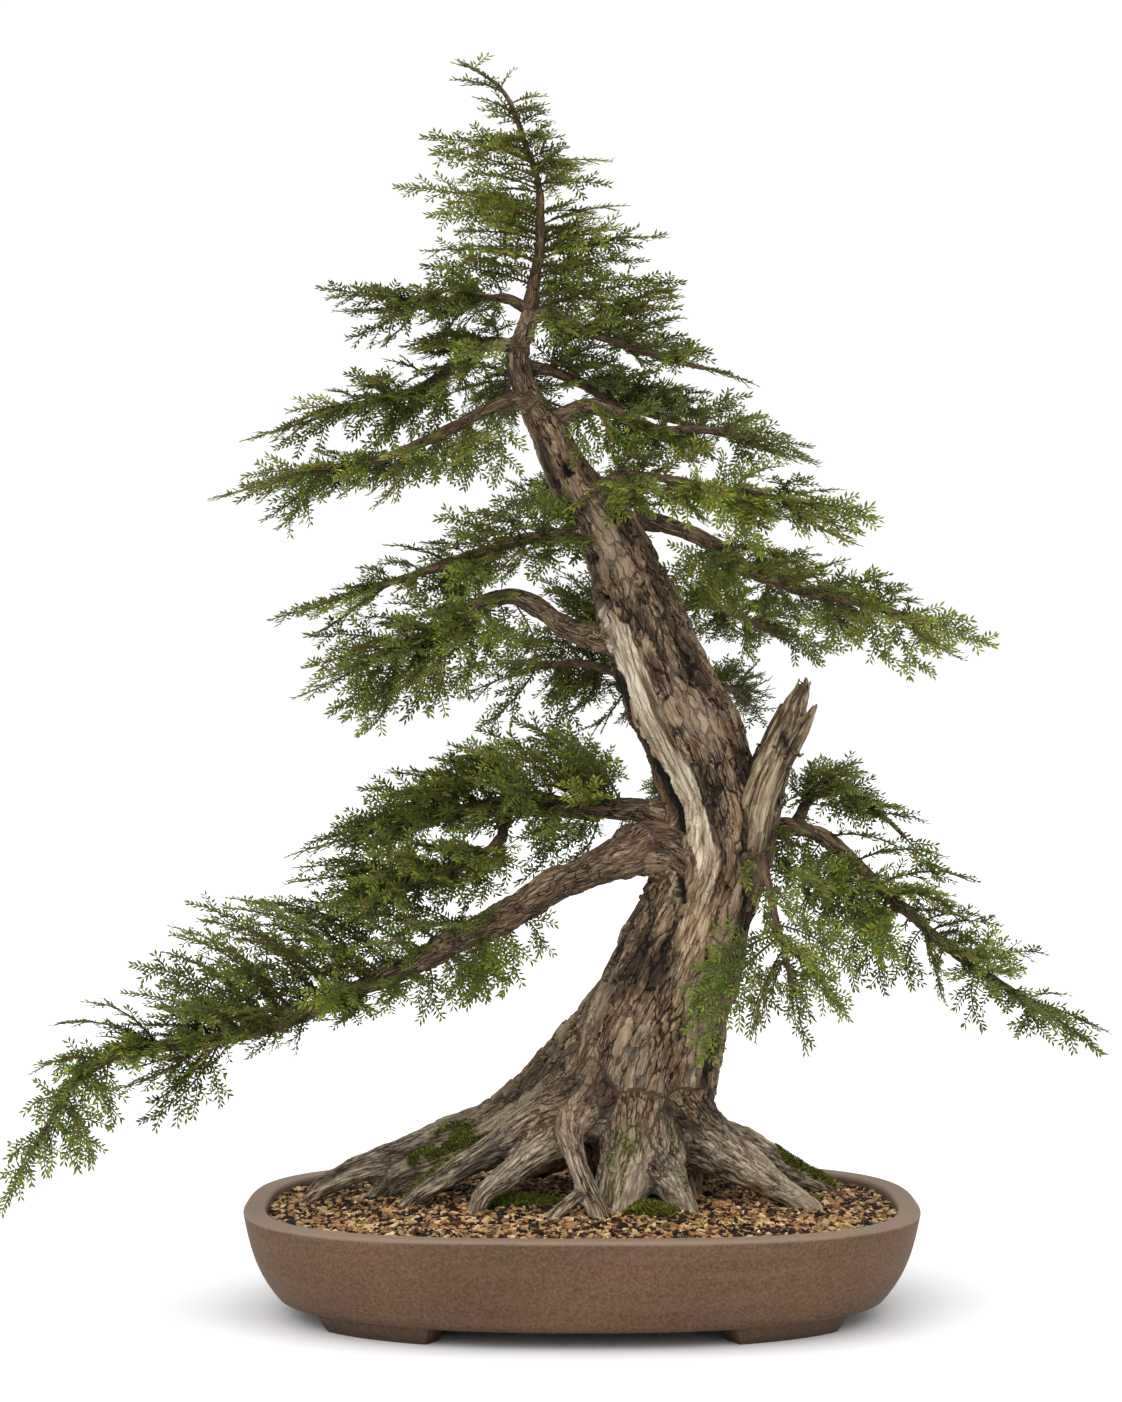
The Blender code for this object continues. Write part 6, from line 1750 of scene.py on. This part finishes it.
def make_foliage(paths, leaf, twig):
    pattern = spray_pattern()
    needle = needle_shape()

    def pad(name, node, spray, seed):
        mesh = pattern.grow(name, spray.mesh(name), Needle=needle, Leaf=leaf, Twig=twig,
                            Spacing=NEEDLE_SPACING, Length=NEEDLE_LENGTH, Width=NEEDLE_WIDTH, Seed=seed)
        map_needles(mesh)
        finish_piece(name, mesh, "needles", [node])

    for number, (name, spec) in enumerate(BRANCHES.items()):
        rng = random.Random(100 + number)
        spray = Spray()
        for start, bend, end in pad_shoots(paths[name], spec, rng):
            tone = rng.uniform(0.10, 0.40) + 0.6 * spec.get("light", 0.0)
            grow_shoot(spray, start, bend, end, rng, tone, PAD_ROLL)
        pad("needles_" + name, "foliage_" + name, spray, number)

    leader = paths["leader"]
    for name, top in (("apex_low", False), ("apex_top", True)):
        rng = random.Random(200 + top)
        spray = Spray()
        tips = [tip for tip in APEX_TIPS if (tip[1] > APEX_SPLIT) == top]
        inner = [(-0.020 + (x + 0.020) * share, z) for x, z in tips if z < 0.930 for share in (0.62, 0.40)]
        for x, z in tips + inner + inner[::3]:
            outer = (x, z) in tips
            k = int(np.argmin(np.abs(leader[:, 2] - (z - 0.14 * abs(x + 0.02) + rng.uniform(-0.010, 0.004)))))
            start = Vector(leader[k, :3])
            reach = abs(x - start.x)
            spread = (rng.uniform(-0.4, 0.4) * reach if outer
                      else rng.uniform(-1.0, 1.0) * (0.026 + 0.6 * reach))
            end = Vector((x, start.y + spread, z + (0 if outer else rng.uniform(-0.008, 0.006))))
            if (end - start).length > 0.010:
                out = Vector((end.x - start.x, spread, 0.0))
                bend = start + out * 0.45 + Vector((0, 0, 0.75 * (end.z - start.z) + 0.06 * out.length))
                grow_shoot(spray, start, bend, end, rng, rng.uniform(0.12, 0.52), APEX_ROLL)
        pad("needles_" + name, "foliage_" + name, spray, 60 + top)
    bpy.data.objects.remove(needle)


# The moss.

def tuft_shape():
    """A short blade of moss, four faces."""
    places = ((0.0, 0.0, 1.0), (0.28, 0.0, 0.0), (-0.14, 0.24, 0.0), (-0.14, -0.24, 0.0))
    mesh = plain_mesh("tuft", places, [(0, 1, 2), (0, 2, 3), (0, 3, 1), (1, 3, 2)], smooth=False)
    return helper_object("tuft", mesh)


def moss_finish():
    moss = Finish("moss", 0.9, 0.15)
    tone, lift, _ = moss.own_map()
    body = moss.ramp(tone, (0.0, shade(42, 48, 15)), (0.45, shade(86, 93, 29)),
                     (0.75, shade(126, 129, 43)), (1.0, shade(160, 155, 68)))
    light = moss.ramp(lift, (0.0, (0.65, 0.65, 0.65, 1.0)), (1.0, (1.0, 1.0, 1.0, 1.0)))
    return moss.done(moss.mix(1.0, body, light, "MULTIPLY"))


def make_moss(pattern, moss, trunk_mesh):
    tuft = tuft_shape()
    for number, (name, (x, y, half_x, half_y, height)) in enumerate(MOSS_PATCHES.items()):
        work = bmesh.new()
        bmesh.ops.create_uvsphere(work, u_segments=40, v_segments=20, radius=1.0)
        mesh = bpy.data.meshes.new(name)
        work.to_mesh(mesh)
        work.free()
        places = mesh_places(mesh)
        places *= 1 + 0.20 * rough(places * 1.8 + number, 3, 3)[:, None]
        places = places * (half_x, half_y, height) + (x, y, 0.0)
        places[:, 2] += soil_height(places[:, 0], places[:, 1]) - 0.002
        set_places(mesh, places)
        write_attribute(mesh, "cover", np.ones(len(places)))
        write_attribute(mesh, "tone", np.full(len(places), 0.2))
        mound = mesh.copy()
        grown = pattern.grow(name, mesh, Shape=tuft, Material=moss, Density=1.3e6, Size=MOSS_BLADE,
                             Unevenness=0.3, Lean=0.5, Lift=0.0, Seed=number)
        both = bmesh.new()
        both.from_mesh(grown)
        both.from_mesh(mound)
        both.to_mesh(grown)
        both.free()
        map_by_tone(grown, number)
        finish_piece(name + "_cushion", grown, "moss", [name])
    sheet = trunk_mesh.copy()
    places, cover = mesh_places(sheet), read_attribute(sheet, "moss")
    write_attribute(sheet, "cover", ease(cover, 0.3, 0.8))
    grown = pattern.grow("moss_on_roots", sheet, Shape=tuft, Material=moss, Density=1.4e6,
                         Size=ROOT_MOSS_BLADE,
                         Unevenness=0.3, Lean=0.5, Lift=0.0, Seed=9)
    map_by_tone(grown, 9)
    finish_piece("moss_on_roots", grown, "moss", [])
    bpy.data.objects.remove(tuft)


# Finishes for the CAD pieces that stay.

def screen_finish():
    plastic = Finish("moulded mesh plastic", 0.55, 0.4)
    tone = plastic.noise(plastic.object_place(), 300.0, 3.0)
    body = plastic.ramp(tone, (0.3, shade(28, 28, 27)), (0.7, shade(44, 43, 41)))
    return plastic.done(body, tone, 0.0002, 0.5)


def wire_finish():
    metal = Finish("bronze anodised wire", 0.38, 0.5)
    metal.shader.inputs["Metallic"].default_value = 1.0
    tone = metal.noise(metal.object_place(), 500.0, 3.0)
    body = metal.ramp(tone, (0.3, shade(120, 92, 72)), (0.7, shade(158, 128, 104)))
    return metal.done(body, tone, 0.0001, 0.4)


def refinish(node, material):
    slots = bpy.data.objects[node].material_slots
    for slot in slots:
        slot.material = material


def main():
    make_studio()
    make_pot(clay_finish())
    make_soil(earth_finish())
    scatter = scatter_pattern()
    make_grains(scatter, grain_finish())
    relief = relief_pattern()
    trunk_mesh = make_trunk(bark_finish(), relief)
    make_snag(snag_finish())
    thin_bark = branch_finish()
    paths = {"leader": make_branch("leader_wood", LEADER_LINE, "leader", thin_bark, relief, 40)}
    for number, (name, spec) in enumerate(BRANCHES.items()):
        line = [(*place, 0.0) for place in spec["line"]]
        radii = taper(np.linspace(0, 1, 60), spec["base"], spec["tip"])
        paths[name] = make_branch("wood_" + name, line, "branch_" + name, thin_bark, relief, number, radii)
    make_foliage(paths, needle_finish(), twig_finish())
    make_moss(scatter, moss_finish(), trunk_mesh)
    for side in ("left", "right"):
        refinish("drainage_screen_" + side, screen_finish())
        refinish("screen_staple_" + side, wire_finish())
    refinish("anchor_wire", wire_finish())


main()
